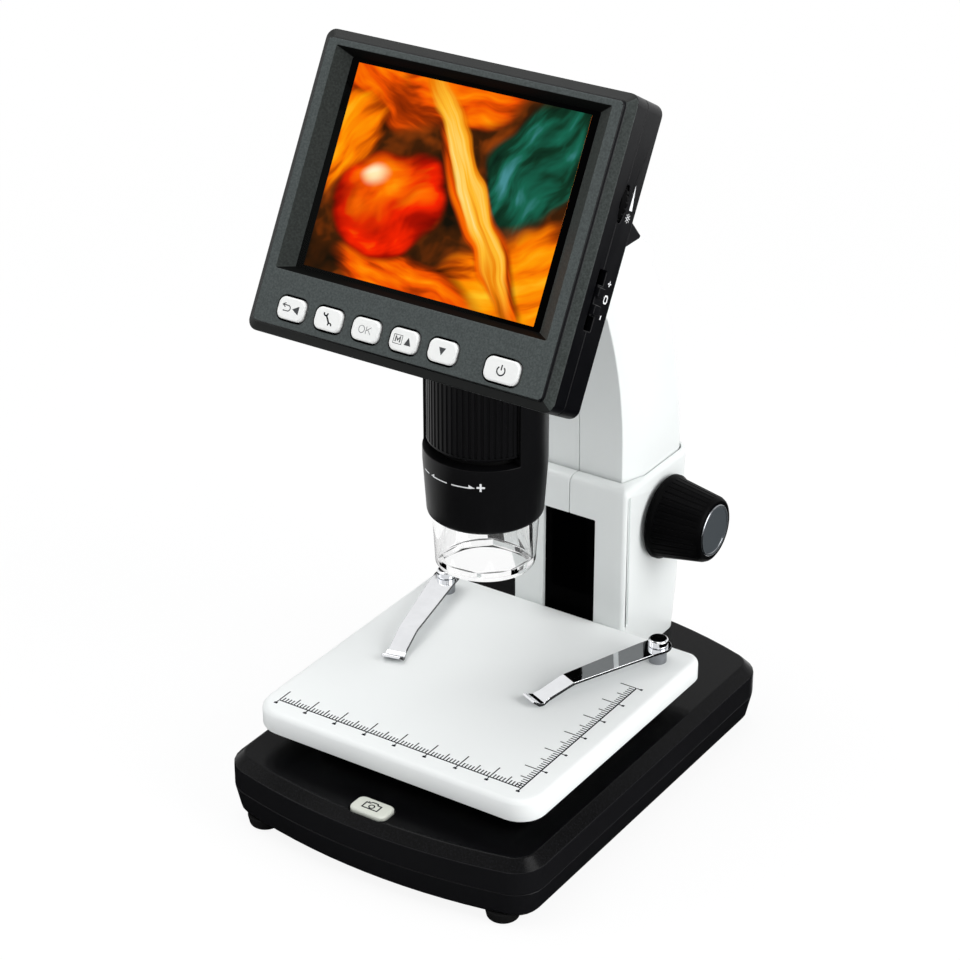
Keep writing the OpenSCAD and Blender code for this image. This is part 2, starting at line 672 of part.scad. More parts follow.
module carriage() {
    x = arm_face_w / 2 - arm_wall;
    color([0.1, 0.1, 0.1]) difference() {
        union() {
            block([-x, arm_front + arm_wall + 0.1, carriage_z0],
                  [x, rack_pitch_y - dedendum - 1.4, carriage_z1]);
            // tongue that the rack is fixed to
            block([-4, arm_front + arm_wall + 2, rack_z0],
                  [4, rack_pitch_y - dedendum - 1.4, carriage_z1]);
        }
        for (s = [-rod_x, rod_x]) translate([s, rod_y, carriage_z0 - 1])
            cylinder(h = carriage_z1 - carriage_z0 + 2, r = rod_r + fit);
    }
}

module rack() {
    p = PI * tooth_module;
    half = p / 4 - 0.1;
    root = rack_pitch_y - dedendum;
    tip = rack_pitch_y + addendum;
    count = floor((rack_z1 - rack_z0) / p / 2) - 1;
    color([0.8, 0.75, 0.6]) union() {
        block([-3, root - 1.4, rack_z0], [3, root, rack_z1]);
        translate([-3, 0, 0]) rotate([90, 0, 90]) linear_extrude(height = 6)
            for (i = [-count:count]) let(z = shaft_z + i * p) if (z < rack_z1 - 1.2 && z > rack_z0 + 1.2)
                translate([0, z]) polygon([[root - 0.2, -half - 0.36], [tip, -half + 0.27],
                                           [tip, half - 0.27], [root - 0.2, half + 0.36]]);
    }
}

// ---------------------------------------------------------------- arm

arm_facet_d = 7.6;      // depth of the slanted facets beside the arm's front face
arm_rear_r = 5;

// Plan of the arm between a front and a rear face
function arm_plan(inset, y0, y1) =
    let(w = arm_w / 2 - inset, f = arm_face_w / 2 - inset * 0.75, r = max(arm_rear_r - inset, 1.5))
    concat([[-f, y0 + inset], [f, y0 + inset], [w, y0 + arm_facet_d + inset * 0.3]],
           arc(w - r, y1 - inset - r, r, 0, 90, 5), arc(r - w, y1 - inset - r, r, 90, 180, 5),
           [[-w, y0 + arm_facet_d + inset * 0.3]]);

// Where the arm's faces lie at a height: upright, and then curving forward
function lean(z, z0, r) = z <= z0 ? 0 : r - sqrt(r * r - pow(z - z0, 2));
function arm_y0(z) = arm_front - lean(z, arm_front_z, arm_front_curve_r);
function arm_y1(z) = arm_back - lean(z, arm_rear_z, arm_rear_curve_r);

collar_z = arm_top - 9.6;      // underside of the collar round the arm's top
collar_d = 1.6;                // how far it stands out behind the arm

function arm_ring(inset, z) = at_z(arm_plan(inset, arm_y0(z), arm_y1(z)), z);
function collar_ring(inset, z, back) = at_z(arm_plan(inset, arm_y0(z), back), z);
function skirt_ring(inset, z) = at_z(arm_plan(inset, arm_front, arm_back - skirt_in), z);

arm_levels = concat([post_top - 3.5],
    [for (i = [0:10]) arm_front_z + (collar_z - arm_front_z) * i / 10]);
skirt_in = 2.6;                // how far the skirt inside the post stands in
collar_back = arm_y1(collar_z) + collar_d;

module arm_half(side) {
    color([0.93, 0.94, 0.95]) difference() {
        loft(concat([skirt_ring(0, skirt_z), skirt_ring(0, post_top - 6)],
                    [for (z = arm_levels) arm_ring(0, z)],
                    [collar_ring(0, collar_z + 0.05, collar_back),
                     collar_ring(0, collar_z + 2.2, collar_back),
                     collar_ring(0, arm_top, collar_back - 8)]));
        loft(concat([skirt_ring(arm_wall, skirt_z - 1), skirt_ring(arm_wall, post_top - 5)],
                    [for (z = arm_levels) arm_ring(arm_wall, z + 1)],
                    [collar_ring(arm_wall, arm_top - 2.5, collar_back - 7)]));
        // slots for the shaft, closed at the top and hidden in the post at rest
        hull() {
            rod_along_x(-30, 30, shaft_y, shaft_z - 40, shaft_slot_r);
            rod_along_x(-30, 30, shaft_y, shaft_z + focus_down + 1, shaft_slot_r);
        }
        translate([0, bracket_y, arm_top - 5]) cylinder(h = 10, r = 4);
        translate([side > 0 ? seam_half - 50 : -seam_half, -50, 0]) cube([50, 200, 300]);
    }
}

shaft_slot_r = shaft_r + 0.8;
focus_down = 6;       // travel of the arm below rest

module arm_left_shell() { arm_half(-1); }
module arm_right_shell() { arm_half(1); }

// Sheet-metal bridge that joins the arm to the head
neck_y = 15;                   // neck bolt behind the arm's front at its top
bracket_y = arm_y0(arm_top) + neck_y;

module neck_bracket() {
    color([0.7, 0.7, 0.72]) union() {
        translate([0, bracket_y, arm_top - 2.5 - 2]) cylinder(h = 2, r = 8.5);
        translate([0, bracket_y, arm_top - 4.5]) cylinder(h = 4.5 + 0.3 + 5, r = 3.9);
    }
}

// ---------------------------------------------------------------- head

head_top = head_z + head_h;
head_split = head_z + 7;
head_wall = 1.8;
head_back = arm_y1(arm_top) - 3.4;
head_front = barrel_y - barrel_r - 0.15;
spigot_r = 13;

// Side outline of the head, front to rear; it clears the screen's back over its whole tilt
head_side = [[head_front, head_z], [head_front + 0.8, head_z + 2.5], [head_front + 3, head_z + 5.5],
             [hinge_y + 8.8, head_top], [head_back - 0.82 * head_h, head_top],
             [head_back, head_z + 0.6], [head_back - 0.6, head_z]];

module head_body(inset) {
    w = head_w / 2 - inset;
    translate([-w, 0, 0]) rotate([90, 0, 90]) linear_extrude(height = 2 * w) polygon([
        [head_side[0][0] + inset * 1.2, head_z + inset], [head_side[1][0] + inset * 1.2, head_side[1][1]],
        [head_side[2][0] + inset * 1.4, head_side[2][1]], [head_side[3][0] + inset * 0.4, head_top - inset],
        [head_side[4][0] - inset * 0.5, head_top - inset],
        [head_side[5][0] - inset * 1.6, head_z + inset + 0.6],
        [head_side[6][0] - inset * 1.6, head_z + inset]]);
}

head_screw_spots = [for (x = [-1, 1]) for (y = [27, 11]) [x * (head_w / 2 - 5.3), head_back - y]];

module head_lower_shell() {
    color([0.07, 0.07, 0.075]) difference() {
        union() {
            difference() {
                head_body(0);
                difference() {
                    head_body(head_wall);
                    for (p = head_screw_spots) translate([p[0], p[1], head_z])
                        cylinder(h = 30, r = 3.4, $fn = 32);
                }
            }
            for (s = [0, 1]) mirror([s, 0, 0]) rod_along_x(ear_in, ear_out, hinge_y, hinge_z, ear_r);
        }
        translate([-50, -80, head_split]) cube([100, 200, 60]);
        translate([0, barrel_y, head_z - 1]) cylinder(h = 8, r = spigot_r);
        translate([0, barrel_y, head_z - 20]) cylinder(h = 20, r = barrel_r + 0.3, $fn = 96);
        translate([0, bracket_y, head_z - 1]) cylinder(h = 6, r = 3.95);
        for (s = [0, 1]) mirror([s, 0, 0])
            rod_along_x(ear_in - 3, ear_out + 1, hinge_y, hinge_z, hinge_pin_r);
        for (p = head_screw_spots) translate([p[0], p[1], head_z - 1]) {
            cylinder(h = 20, r = screw_r + 0.2, $fn = 24);
            cylinder(h = 2.8, r = screw_head_r + 0.2, $fn = 32);
        }
    }
}

module head_upper_shell() {
    color([0.07, 0.07, 0.075]) difference() {
        intersection() {
            difference() {
                head_body(0);
                difference() {
                    head_body(head_wall);
                    for (p = head_screw_spots) translate([p[0], p[1], head_z])
                        cylinder(h = 30, r = 3.4, $fn = 32);
                }
            }
            translate([-50, -80, head_split]) cube([100, 200, 60]);
        }
        for (s = [0, 1]) mirror([s, 0, 0])
            rod_along_x(ear_in - 3, ear_out + 1, hinge_y, hinge_z, hinge_pin_r);
        for (p = head_screw_spots) translate([p[0], p[1], head_split - 1])
            cylinder(h = 5, r = screw_hole_r, $fn = 24);
    }
}

module head_screws() {
    color([0.6, 0.6, 0.6]) for (p = head_screw_spots) translate([p[0], p[1], head_z + 1.8]) screw(8.2);
}

module sensor_board() {
    color([0.1, 0.35, 0.2]) translate([0, barrel_y, 0]) {
        block([-13.5, -7, head_z + 3.6], [13.5, 13, head_z + 5]);
        block([-4, -4, head_z + 2.4], [4, 4, head_z + 3.6]);
        block([-8, 6, head_z + 5], [8, 11, head_z + 6.5]);
    }
}

// ---------------------------------------------------------------- barrel

module barrel_casing() {
    r_low = barrel_r - 1;
    z_taper = barrel_bottom + 16;
    color([0.06, 0.06, 0.065]) translate([0, barrel_y, 0]) difference() {
        rotate_extrude($fn = 96) polygon(concat(
            [[12.2, barrel_bottom]],
            [for (a = [-90, -60, -30, 0]) [r_low - 1.1 + 1.1 * cos(a), barrel_bottom + 1.1 + 1.1 * sin(a)]],
            [[barrel_r, z_taper], [barrel_r, head_z], [barrel_in_r, head_z], [barrel_in_r, ring_z - 0.3],
             [core_r + 0.6, ring_z - 0.3], [core_r + 0.6, barrel_bottom + 3], [12.2, barrel_bottom + 3]]));
        // window that shows the magnification ring
        translate([0, 0, ring_window_z]) linear_extrude(height = ring_h + 4) polygon(concat([[0, 0]],
            [for (a = [-90 - ring_window_half : ring_window_half / 6 : -90 + ring_window_half + eps])
             [30 * cos(a), 30 * sin(a)]]));
    }
}

core_flange_z = ring_z + ring_h + 0.3;

module barrel_core() {
    color([0.08, 0.08, 0.085]) translate([0, barrel_y, 0]) rotate_extrude($fn = 96) polygon([
        [core_r - 1.6, barrel_bottom + 9], [core_r, barrel_bottom + 9], [core_r, core_flange_z],
        [barrel_in_r - fit, core_flange_z], [barrel_in_r - fit, core_flange_z + 3],
        [core_r, core_flange_z + 3],
        [core_r, head_z - 2], [barrel_in_r - fit, head_z - 2], [barrel_in_r - fit, head_z],
        [spigot_r - fit, head_z], [spigot_r - fit, head_z + 3], [9, head_z + 3], [9, head_z - 2],
        [core_r - 1.6, head_z - 2]]);
}

module magnification_ring() {
    color([0.05, 0.05, 0.055]) translate([0, barrel_y, 0]) difference() {
        rotate_extrude($fn = 96) polygon([
            [core_r + 0.08, ring_z], [ring_r - 0.5, ring_z], [ring_r, ring_z + 0.5],
            [ring_r, ring_z + ring_h - 0.5], [ring_r - 0.5, ring_z + ring_h],
            [core_r + 0.08, ring_z + ring_h]]);
        for (i = [0:ring_ribs - 1]) rotate([0, 0, i * 360 / ring_ribs])
            translate([ring_r + 0.1, 0, ring_z + 1]) cylinder(h = ring_h - 2, r = 0.45, $fn = 16);
    }
}

carrier_z = ring_z - 6;
carrier_l = 24;
carrier_r = core_r - 1.6 - fit;

module lens_carrier() {
    color([0.12, 0.12, 0.12]) translate([0, barrel_y, 0]) rotate_extrude($fn = 64) polygon([
        [6.2, carrier_z], [carrier_r, carrier_z], [carrier_r, carrier_z + carrier_l],
        [8.2, carrier_z + carrier_l], [8.2, carrier_z + 3], [6.2, carrier_z + 3]]);
}

// Two double-convex elements
module lens(r, edge, crown) {
    rotate_extrude($fn = 64) polygon(concat([[0, -crown - edge / 2]],
        [for (i = [1:6]) [r * i / 6, -edge / 2 - crown * (1 - pow(i / 6, 2))]],
        [for (i = [6:-1:1]) [r * i / 6, edge / 2 + crown * (1 - pow(i / 6, 2))]], [[0, crown + edge / 2]]));
}

module lenses() {
    color([0.75, 0.85, 0.95]) {
        translate([0, barrel_y, carrier_z + 5.2]) lens(8.2, 3, 1.1);
        translate([0, barrel_y, carrier_z + 19]) lens(8.2, 3, 1.1);
    }
}

led_board_z = barrel_bottom + 3;
led_ring_r = 9.6;

module led_board() {
    color([0.1, 0.35, 0.2]) translate([0, barrel_y, 0])
        tube(led_board_z, led_board_z + 1.2, core_r + 0.5, 7);
}

module leds() {
    color([0.95, 0.95, 0.85]) translate([0, barrel_y, 0]) for (i = [0:7]) rotate([0, 0, 22.5 + 45 * i])
        translate([led_ring_r, 0, led_board_z - 3.2]) cylinder(h = 3.2, r = 1.5, $fn = 24);
}

module light_shade() {
    top = barrel_bottom + 3;
    low = barrel_bottom - shade_l;
    lip_across = 2 * shade_r - 6.8;
    color([0.85, 0.9, 0.95, 0.4]) translate([0, barrel_y, 0]) union() {
        rotate_extrude($fn = 72) polygon([
            [shade_r - 1.9, low], [shade_r - 0.9, low], [shade_r - 0.2, low + 0.4], [shade_r, low + 1.1],
            [shade_r + 0.9, barrel_bottom - 0.2], [12.15, barrel_bottom - 0.05],
            [12.15, top - 0.05], [11.2, top - 0.05], [11.2, barrel_bottom - 1.5]]);
        // an eight-sided lip steadies the rim
        translate([0, 0, low + 1]) difference() {
            cylinder(h = 1.6, r = shade_r - 1.6);
            translate([0, 0, -1]) rotate([0, 0, 22.5])
                cylinder(h = 4, r = lip_across / 2 / cos(22.5), $fn = 8);
        }
    }
}

// ---------------------------------------------------------------- screen

screen_r = 2.8;
bevel_w = 2.4;
bevel_n = 0.4;
step_n = 1.7;
recess_x = screen_w / 2 - 5.5;
recess_up = screen_up - 4.3;
recess_down = picture_h / 2 + 2.55;
sill_x = picture_w / 2 + 2.1;
sill_y = picture_h / 2 + 1;

// Plan of the screen housing in its own frame, pulled in by inset
function screen_plan(inset, n) =
    let(r = max(screen_r - inset * 0.6, 0.8))
    at_z(round_rect(inset - screen_w / 2, screen_w / 2 - inset, inset - screen_down, screen_up - inset,
                    r, r), n);

module key_slot(u, v, w, h, r, gap, n0, n1) {
    translate([u, v, n0]) linear_extrude(height = n1 - n0)
        polygon(round_rect(-w / 2 - gap, w / 2 + gap, -h / 2 - gap, h / 2 + gap, r + gap, r + gap));
}

keys = concat([for (i = [0:4]) [key_first + i * key_pitch, key_row, key_w, key_h, 1.9]],
              [[power_key_u - 0.1, key_row - 0.6, power_key_w, key_h + 0.3, 2.1]]);

wheel_v = 7.9;
wheel_r = 8;
wheel_u = screen_w / 2 + 0.9 - wheel_r;
wheel_t = 2.6;
wheel_n = -6.1;
axle_r = 1.5;
lever_v = -16.8;
lever_slot = 15.4;
lever_n = -5.4;
lever_travel = 3;
screen_screw_spots = [for (x = [-1, 1]) for (v = [screen_up - 6.3, 4.8 - screen_down])
    [x * (screen_w / 2 - 4.6), v]];

module wheel_profile(gap, inner) {
    half = wheel_t / 2 + gap;
    tip = 0.4 + gap * 0.3;
    polygon([[inner, -half], [wheel_r - 1 + gap * 0.3, -half], [wheel_r + gap, -tip], [wheel_r + gap, tip],
             [wheel_r - 1 + gap * 0.3, half], [inner, half]]);
}

module side_slots() {
    // the wheel thins toward its rim, so its slot is shaped like a leaf
    translate([wheel_u, wheel_v, wheel_n]) rotate_extrude() wheel_profile(0.5, 0);
    block([screen_w / 2 - 4, lever_v - lever_slot / 2, lever_n - 1.9],
          [screen_w / 2 + 1, lever_v + lever_slot / 2, lever_n + 1.9]);
    // sockets on the left side: memory card, data and power
    block([-screen_w / 2 - 1, 6, -7.4], [-screen_w / 2 + 4, 19, -4.4]);
    block([-screen_w / 2 - 1, -8, -8.2], [-screen_w / 2 + 4, 0, -4.2]);
    translate([-screen_w / 2 - 1, -18, -6.4]) rotate([0, 90, 0]) cylinder(h = 5, r = 2.6, $fn = 32);
}

module screen_front_shell() {
    color([0.09, 0.09, 0.095]) on_screen() difference() {
        union() {
            difference() {
                loft([screen_plan(0, -seam_n), screen_plan(0, bevel_n), screen_plan(bevel_w, step_n),
                      screen_plan(bevel_w + 0.1, face_n - 0.25), screen_plan(bevel_w + 0.35, face_n)]);
                loft([screen_plan(screen_wall, -seam_n - 1), screen_plan(screen_wall, 0)]);
            }
            for (p = screen_screw_spots) translate([p[0], p[1], -seam_n])
                cylinder(h = seam_n + 1, r = 2.6, $fn = 32);
        }
        // recess round the picture
        loft([for (s = [[0, -1], [0, 0], [1, face_n], [1, face_n + 1]])
              at_z(round_rect(-sill_x - s[0] * (recess_x - sill_x), sill_x + s[0] * (recess_x - sill_x),
                              -sill_y - s[0] * (recess_down - sill_y), sill_y + s[0] * (recess_up - sill_y),
                              0.4, 0.4, 2), s[1])]);
        for (k = keys) key_slot(k[0], k[1], k[2], k[3], k[4], key_gap, -1, face_n + 1);
        side_slots();
        for (p = screen_screw_spots) translate([p[0], p[1], -seam_n - 1])
            cylinder(h = seam_n + 0.6, r = screw_hole_r, $fn = 24);
    }
    // axle of the dimmer wheel
    color([0.09, 0.09, 0.095]) on_screen() translate([wheel_u, wheel_v, wheel_n - 2])
        cylinder(h = 0.8 - wheel_n + 2, r = axle_r);
}

module screen_rear_shell() {
    color([0.09, 0.09, 0.095]) on_screen() difference() {
        union() {
            difference() {
                loft([screen_plan(2, -back_n), screen_plan(0, -back_n + 2), screen_plan(0, -seam_n)]);
                difference() {
                    loft([screen_plan(screen_wall + 1.4, screen_wall - back_n),
                          screen_plan(screen_wall, 2.2 + screen_wall - back_n),
                          screen_plan(screen_wall, 1 - seam_n)]);
                    for (p = screen_screw_spots) translate([p[0], p[1], -back_n])
                        cylinder(h = 20, r = 3.2, $fn = 32);
                }
            }
            // hinge lugs
            for (s = [0, 1]) mirror([s, 0, 0]) {
                rod_along_x(lug_in, lug_out, hinge_u, -back_n - hinge_off, ear_r);
                block([lug_in, hinge_u - ear_r, -back_n - hinge_off],
                      [lug_out, hinge_u + ear_r, 0.5 - back_n]);
            }
        }
        for (s = [0, 1]) mirror([s, 0, 0])
            rod_along_x(lug_in - 1, lug_out + 1, hinge_u, -back_n - hinge_off, hinge_pin_r + fit);
        side_slots();
        for (p = screen_screw_spots) translate([p[0], p[1], -back_n - 1]) {
            cylinder(h = 20, r = screw_r + 0.2, $fn = 24);
            cylinder(h = 4, r = screw_head_r + 0.2, $fn = 32);
        }
        // speaker slots in the back
        for (i = [-3:3]) translate([24 + i * 2.4, 18, -back_n - 1]) cube([1.1, 9, screen_wall + 1.5]);
    }
}

module screen_panel() {
    color([0.75, 0.45, 0.15]) on_screen()
        block([-picture_w / 2 - 2.7, -picture_h / 2 - 2.6, -3.2],
              [picture_w / 2 + 2.7, picture_h / 2 + 2.6, -0.02]);
}

board_n = -4.6;

module main_board() {
    color([0.1, 0.35, 0.2]) on_screen() difference() {
        union() {
            block([8.6 - screen_w / 2, 2.8 - screen_down, board_n - 1.4],
                  [screen_w / 2 - 8.6, screen_up - 6.3, board_n]);
            block([key_first - 0.95, key_row - 4, board_n], [power_key_u + 4.1, key_row + 4, board_n + 1.6]);
            block([-screen_w / 2 + 2.2, 6.4, board_n - 2.6], [15.1 - screen_w / 2, 18.6, board_n - 1.4 + eps]);
            block([-screen_w / 2 + 2.2, -7.6, board_n - 3.4],
                  [13.1 - screen_w / 2, -0.4, board_n - 1.4 + eps]);
            block([-screen_w / 2 + 2.2, -20.4, board_n - 4],
                  [13.1 - screen_w / 2, -15.6, board_n - 1.4 + eps]);
            block([-12, -16, board_n - 3], [4, 0, board_n - 1.4 + eps]);
        }
        translate([wheel_u, wheel_v, -20]) cylinder(h = 30, r = wheel_r + 0.8);
        block([screen_w / 2 - 14.1, lever_v - lever_slot / 2 - 1, -20],
              [screen_w / 2 + 13, lever_v + lever_slot / 2 + 1, 5]);
    }
}

module battery() {
    color([0.25, 0.35, 0.5]) on_screen()
        block([25.1 - screen_w / 2, -20, -back_n + screen_wall + 0.05],
              [screen_w / 2 - 29.1, screen_up - 8.3, board_n - 3.2]);
}

// A key: cap through the face, a skirt behind it, and a stem that meets its switch
module key(k) {
    color([0.93, 0.93, 0.92]) on_screen() union() {
        loft([for (s = [[0, -0.6], [0, face_n + key_proud - 0.3], [0.3, face_n + key_proud]])
              at_z([for (p = round_rect(s[0] - k[2] / 2, k[2] / 2 - s[0], s[0] - k[3] / 2, k[3] / 2 - s[0],
                                        k[4], k[4])) [p[0] + k[0], p[1] + k[1]]], s[1])]);
        key_slot(k[0], k[1], k[2], k[3], k[4], 0.9, -1.5, -0.55);
        translate([k[0], k[1], board_n + 2.3]) cylinder(h = 1.2, r = 1.2, $fn = 24);
    }
}

module key_back() { key(keys[0]); }
module key_setup() { key(keys[1]); }
module key_ok() { key(keys[2]); }
module key_mode() { key(keys[3]); }
module key_down() { key(keys[4]); }
module key_power() { key(keys[5]); }

module dimmer_wheel() {
    color([0.12, 0.12, 0.12]) on_screen() translate([wheel_u, wheel_v, wheel_n]) difference() {
        rotate_extrude($fn = 64) wheel_profile(0, axle_r + fit);
        for (i = [0:31]) rotate([0, 0, (i + 0.5) * 11.25]) translate([wheel_r + 0.1, 0, -wheel_t])
            cylinder(h = 2 * wheel_t, r = 0.35, $fn = 16);
    }
}

module zoom_lever() {
    color([0.12, 0.12, 0.12]) on_screen() union() {
        block([screen_w / 2 - 6, lever_v - 4, lever_n - 1.5],
              [screen_w / 2 + 0.4, lever_v + 4, lever_n + 1.5]);
        for (i = [-1, 1]) block([screen_w / 2, lever_v + i * 2.2 - 1.2, lever_n - 1.5],
                                [screen_w / 2 + 1.2, lever_v + i * 2.2 + 1.2, lever_n + 1.5]);
    }
}

module hinge_pins() {
    color([0.75, 0.75, 0.77]) for (s = [0, 1]) mirror([s, 0, 0])
        rod_along_x(ear_in + 0.2, lug_out - 0.3, hinge_y, hinge_z, hinge_pin_r);
}

module screen_screws() {
    color([0.6, 0.6, 0.6]) on_screen() for (p = screen_screw_spots)
        translate([p[0], p[1], -back_n + 3 + screw_head_h - 1.6]) screw(back_n - 3 - seam_n + 4.4);
}

// ---------------------------------------------------------------- what is drawn

base_top_shell();
base_bottom_shell();
rubber_feet();
ballast_plate();
base_screws();
shutter_button();
shutter_board();
stage_plate();
stage_screws();
clip_stud_left();
clip_stud_right();
clip_left();
clip_right();
post_left_shell();
post_right_shell();
post_window();
guide_rods();
shaft_bushes();
focus_shaft();
focus_pinion();
knob_left();
knob_right();
knob_disc_left();
knob_disc_right();
carriage();
rack();
arm_left_shell();
arm_right_shell();
neck_bracket();
head_lower_shell();
head_upper_shell();
head_screws();
barrel_casing();
barrel_core();
magnification_ring();
lens_carrier();
lenses();
sensor_board();
led_board();
leds();
light_shade();
screen_front_shell();
screen_rear_shell();
screen_panel();
main_board();
battery();
key_back();
key_setup();
key_ok();
key_mode();
key_down();
key_power();
dimmer_wheel();
zoom_lever();
hinge_pins();
screen_screws();
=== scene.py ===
# %% [markdown]
# # A desktop microscope with a tilting screen
# The machine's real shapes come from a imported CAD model: every shell, screw and gear is already a
# solid in its right place. This notebook dresses those solids. It rounds their edges, gives each
# one the finish of the real material, prints the rulers and key symbols, lights the screen, and
# sets up a small studio. Blender works in metres, in the model's own frame. Sizes of the machine
# are written in millimetres and multiplied by MM where they go in.

# %% Load the solids
import json
import math

import bmesh
import bpy
from mathutils import Matrix, Vector


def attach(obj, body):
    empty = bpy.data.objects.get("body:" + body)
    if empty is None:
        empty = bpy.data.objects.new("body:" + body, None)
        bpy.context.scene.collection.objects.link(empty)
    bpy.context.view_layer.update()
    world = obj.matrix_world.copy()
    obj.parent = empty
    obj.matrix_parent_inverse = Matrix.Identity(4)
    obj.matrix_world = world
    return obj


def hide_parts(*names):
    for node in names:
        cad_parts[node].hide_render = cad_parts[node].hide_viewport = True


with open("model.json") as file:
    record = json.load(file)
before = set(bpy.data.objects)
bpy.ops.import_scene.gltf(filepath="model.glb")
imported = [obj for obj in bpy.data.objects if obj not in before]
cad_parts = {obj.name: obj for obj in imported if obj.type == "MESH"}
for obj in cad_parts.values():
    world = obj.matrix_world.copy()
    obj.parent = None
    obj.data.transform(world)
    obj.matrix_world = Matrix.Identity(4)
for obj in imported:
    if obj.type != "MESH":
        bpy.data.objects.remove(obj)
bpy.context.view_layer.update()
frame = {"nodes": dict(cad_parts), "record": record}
nodes = frame["nodes"]
record = frame["record"]
body_of = {n: body for body, names in record["behaviour"]["bodies"].items() for n in names}
MM = 0.001

# %% [markdown]
# ## The camera
# A long lens from a little above shows a small machine without bending its straight edges. The
# camera is set by its turn to the right of the front (azimuth) and its height above level
# (elevation). A matrix built from its own right, up and backward directions keeps the horizon
# level without any tracking.

# %% Camera
CAMERA_AT = (0.37664, -0.58494, 0.45632)
AZIMUTH, ELEVATION = math.radians(33.40), math.radians(27.59)
LENS, SENSOR = 106.65, 36.0

back = Vector((math.sin(AZIMUTH) * math.cos(ELEVATION), -math.cos(AZIMUTH) * math.cos(ELEVATION),
               math.sin(ELEVATION)))
right = Vector((math.cos(AZIMUTH), math.sin(AZIMUTH), 0))
lens = bpy.data.cameras.new("studio_camera")
lens.sensor_width, lens.lens = SENSOR, LENS
lens.clip_start, lens.clip_end = 0.01, 20
camera = bpy.data.objects.new("studio_camera", lens)
camera.matrix_world = Matrix((right, back.cross(right), back)).transposed().to_4x4()
camera.location = CAMERA_AT
scene = bpy.context.scene
scene.collection.objects.link(camera)
scene.camera = camera
print("camera:", [round(c, 3) for c in camera.location])

# %% [markdown]
# ## Shader helpers
# A material in Blender is a small graph. Three helpers do the wiring: `wire` fills or links a
# node's sockets, `add` makes a node and wires it in one call, and `start_material` starts a named
# material and hands back its tree and main shader. A value that is the same all over goes straight
# onto the shader's socket.

# %% Nodes and materials


def wire(tree, node, values):
    """Fill a node's sockets: another node's output is linked, anything else is written in."""
    for key, value in values.items():
        if isinstance(value, bpy.types.NodeSocket):
            tree.links.new(value, node.inputs[key])
        else:
            node.inputs[key].default_value = value


def add(tree, kind, values=None, **settings):
    node = tree.nodes.new("ShaderNode" + kind)
    for key, value in settings.items():
        setattr(node, key, value)
    wire(tree, node, values or {})
    return node


def start_material(name, values):
    material = bpy.data.materials.new(name)
    material.use_nodes = True
    tree = material.node_tree
    shader = tree.nodes["Principled BSDF"]
    wire(tree, shader, values)
    return material, tree, shader


print("node helpers ready")

# %% [markdown]
# ## Ramps, grains and sums
# These helpers each add one node that turns up again and again. A ramp turns a number into a grey
# or a colour, noise makes grains of a chosen size, and a soft step fades from 0 to 1 between two
# values.

# %% Ramps, grains and sums


def ramp(tree, factor, stops):
    """A colour ramp; stops are (place, grey or colour)."""
    node = add(tree, "ValToRGB", {"Fac": factor})
    line = node.color_ramp
    for i, (place, shade) in enumerate(stops):
        stop = line.elements[i] if i < 2 else line.elements.new(place)
        stop.position = place
        shade = (shade, shade, shade) if isinstance(shade, (int, float)) else shade
        stop.color = (*shade, 1)
    return node.outputs["Color"]


def grains(tree, where, size, detail=2.0, roughness=0.5):
    """Noise whose grains are about `size` millimetres across."""
    return add(tree, "TexNoise", {"Vector": where, "Scale": 1 / (size * MM), "Detail": detail,
                                  "Roughness": roughness}).outputs["Fac"]


def math_node(tree, operation, a, b, clamp=False):
    return add(tree, "Math", {0: a, 1: b}, operation=operation, use_clamp=clamp).outputs[0]


def soft_step(tree, value, low, high):
    """0 below `low`, 1 above `high`, smooth between; swap them to turn it round."""
    return add(tree, "MapRange", {0: value, 1: low, 2: high, 3: 0.0, 4: 1.0},
               interpolation_type="SMOOTHSTEP").outputs[0]


def shares(colour, *parts):
    """The colour darkened or lightened by each part."""
    return [tuple(c * part for c in colour) for part in parts]


print("half and double of mid grey:", shares((0.2, 0.2, 0.2), 0.5, 2.0))

# %% [markdown]
# ## Moulded plastic
# Nearly every shell here is injection-moulded. The steel mould is spark-eroded, so the plastic
# leaves it with a fine sand-like grain, a slightly uneven gloss, and faint colour drift. The grain
# is a bump made from fine noise. A second, coarser noise moves the roughness a little, which is
# what makes a large plain face look real. A coarsely sparked face gets specks instead of drift:
# single grains that are darker or lighter than the rest.

# %% Moulded plastic
DRIFT_SIZE, GLOSS_SIZE, SPECK_SIZE = 22, 6, 0.55


def moulded(name, colour, roughness, grain=0.35, depth=0.012, drift=0.04, gloss=0.5, uneven=0.08,
            specks=None):
    """Grain and depth are in millimetres; specks are the dark and the light grains' share."""
    material, tree, shader = start_material(name, {"Specular IOR Level": gloss})
    where = add(tree, "TexCoord").outputs["Object"]
    if specks:
        dark, light = shares(colour, *specks)
        tint = ramp(tree, grains(tree, where, SPECK_SIZE, 2, 0.6),
                    [(0.36, dark), (0.5, colour), (0.68, light)])
    else:
        dark, light = shares(colour, 1 - drift, 1 + drift)
        tint = ramp(tree, grains(tree, where, DRIFT_SIZE, 3), [(0.3, dark), (0.7, light)])
    haze = ramp(tree, grains(tree, where, GLOSS_SIZE, 4),
                [(0.25, roughness * (1 - uneven)), (0.75, roughness * (1 + uneven))])
    wire(tree, shader, {"Base Color": tint, "Roughness": haze})
    if depth:
        bump = add(tree, "Bump", {"Height": grains(tree, where, grain, 2, 0.6), "Distance": depth * MM,
                                  "Strength": 0.9})
        wire(tree, shader, {"Normal": bump.outputs["Normal"]})
    return material


print("specks of", SPECK_SIZE, "mm, gloss patches of", GLOSS_SIZE, "mm, drift over", DRIFT_SIZE, "mm")

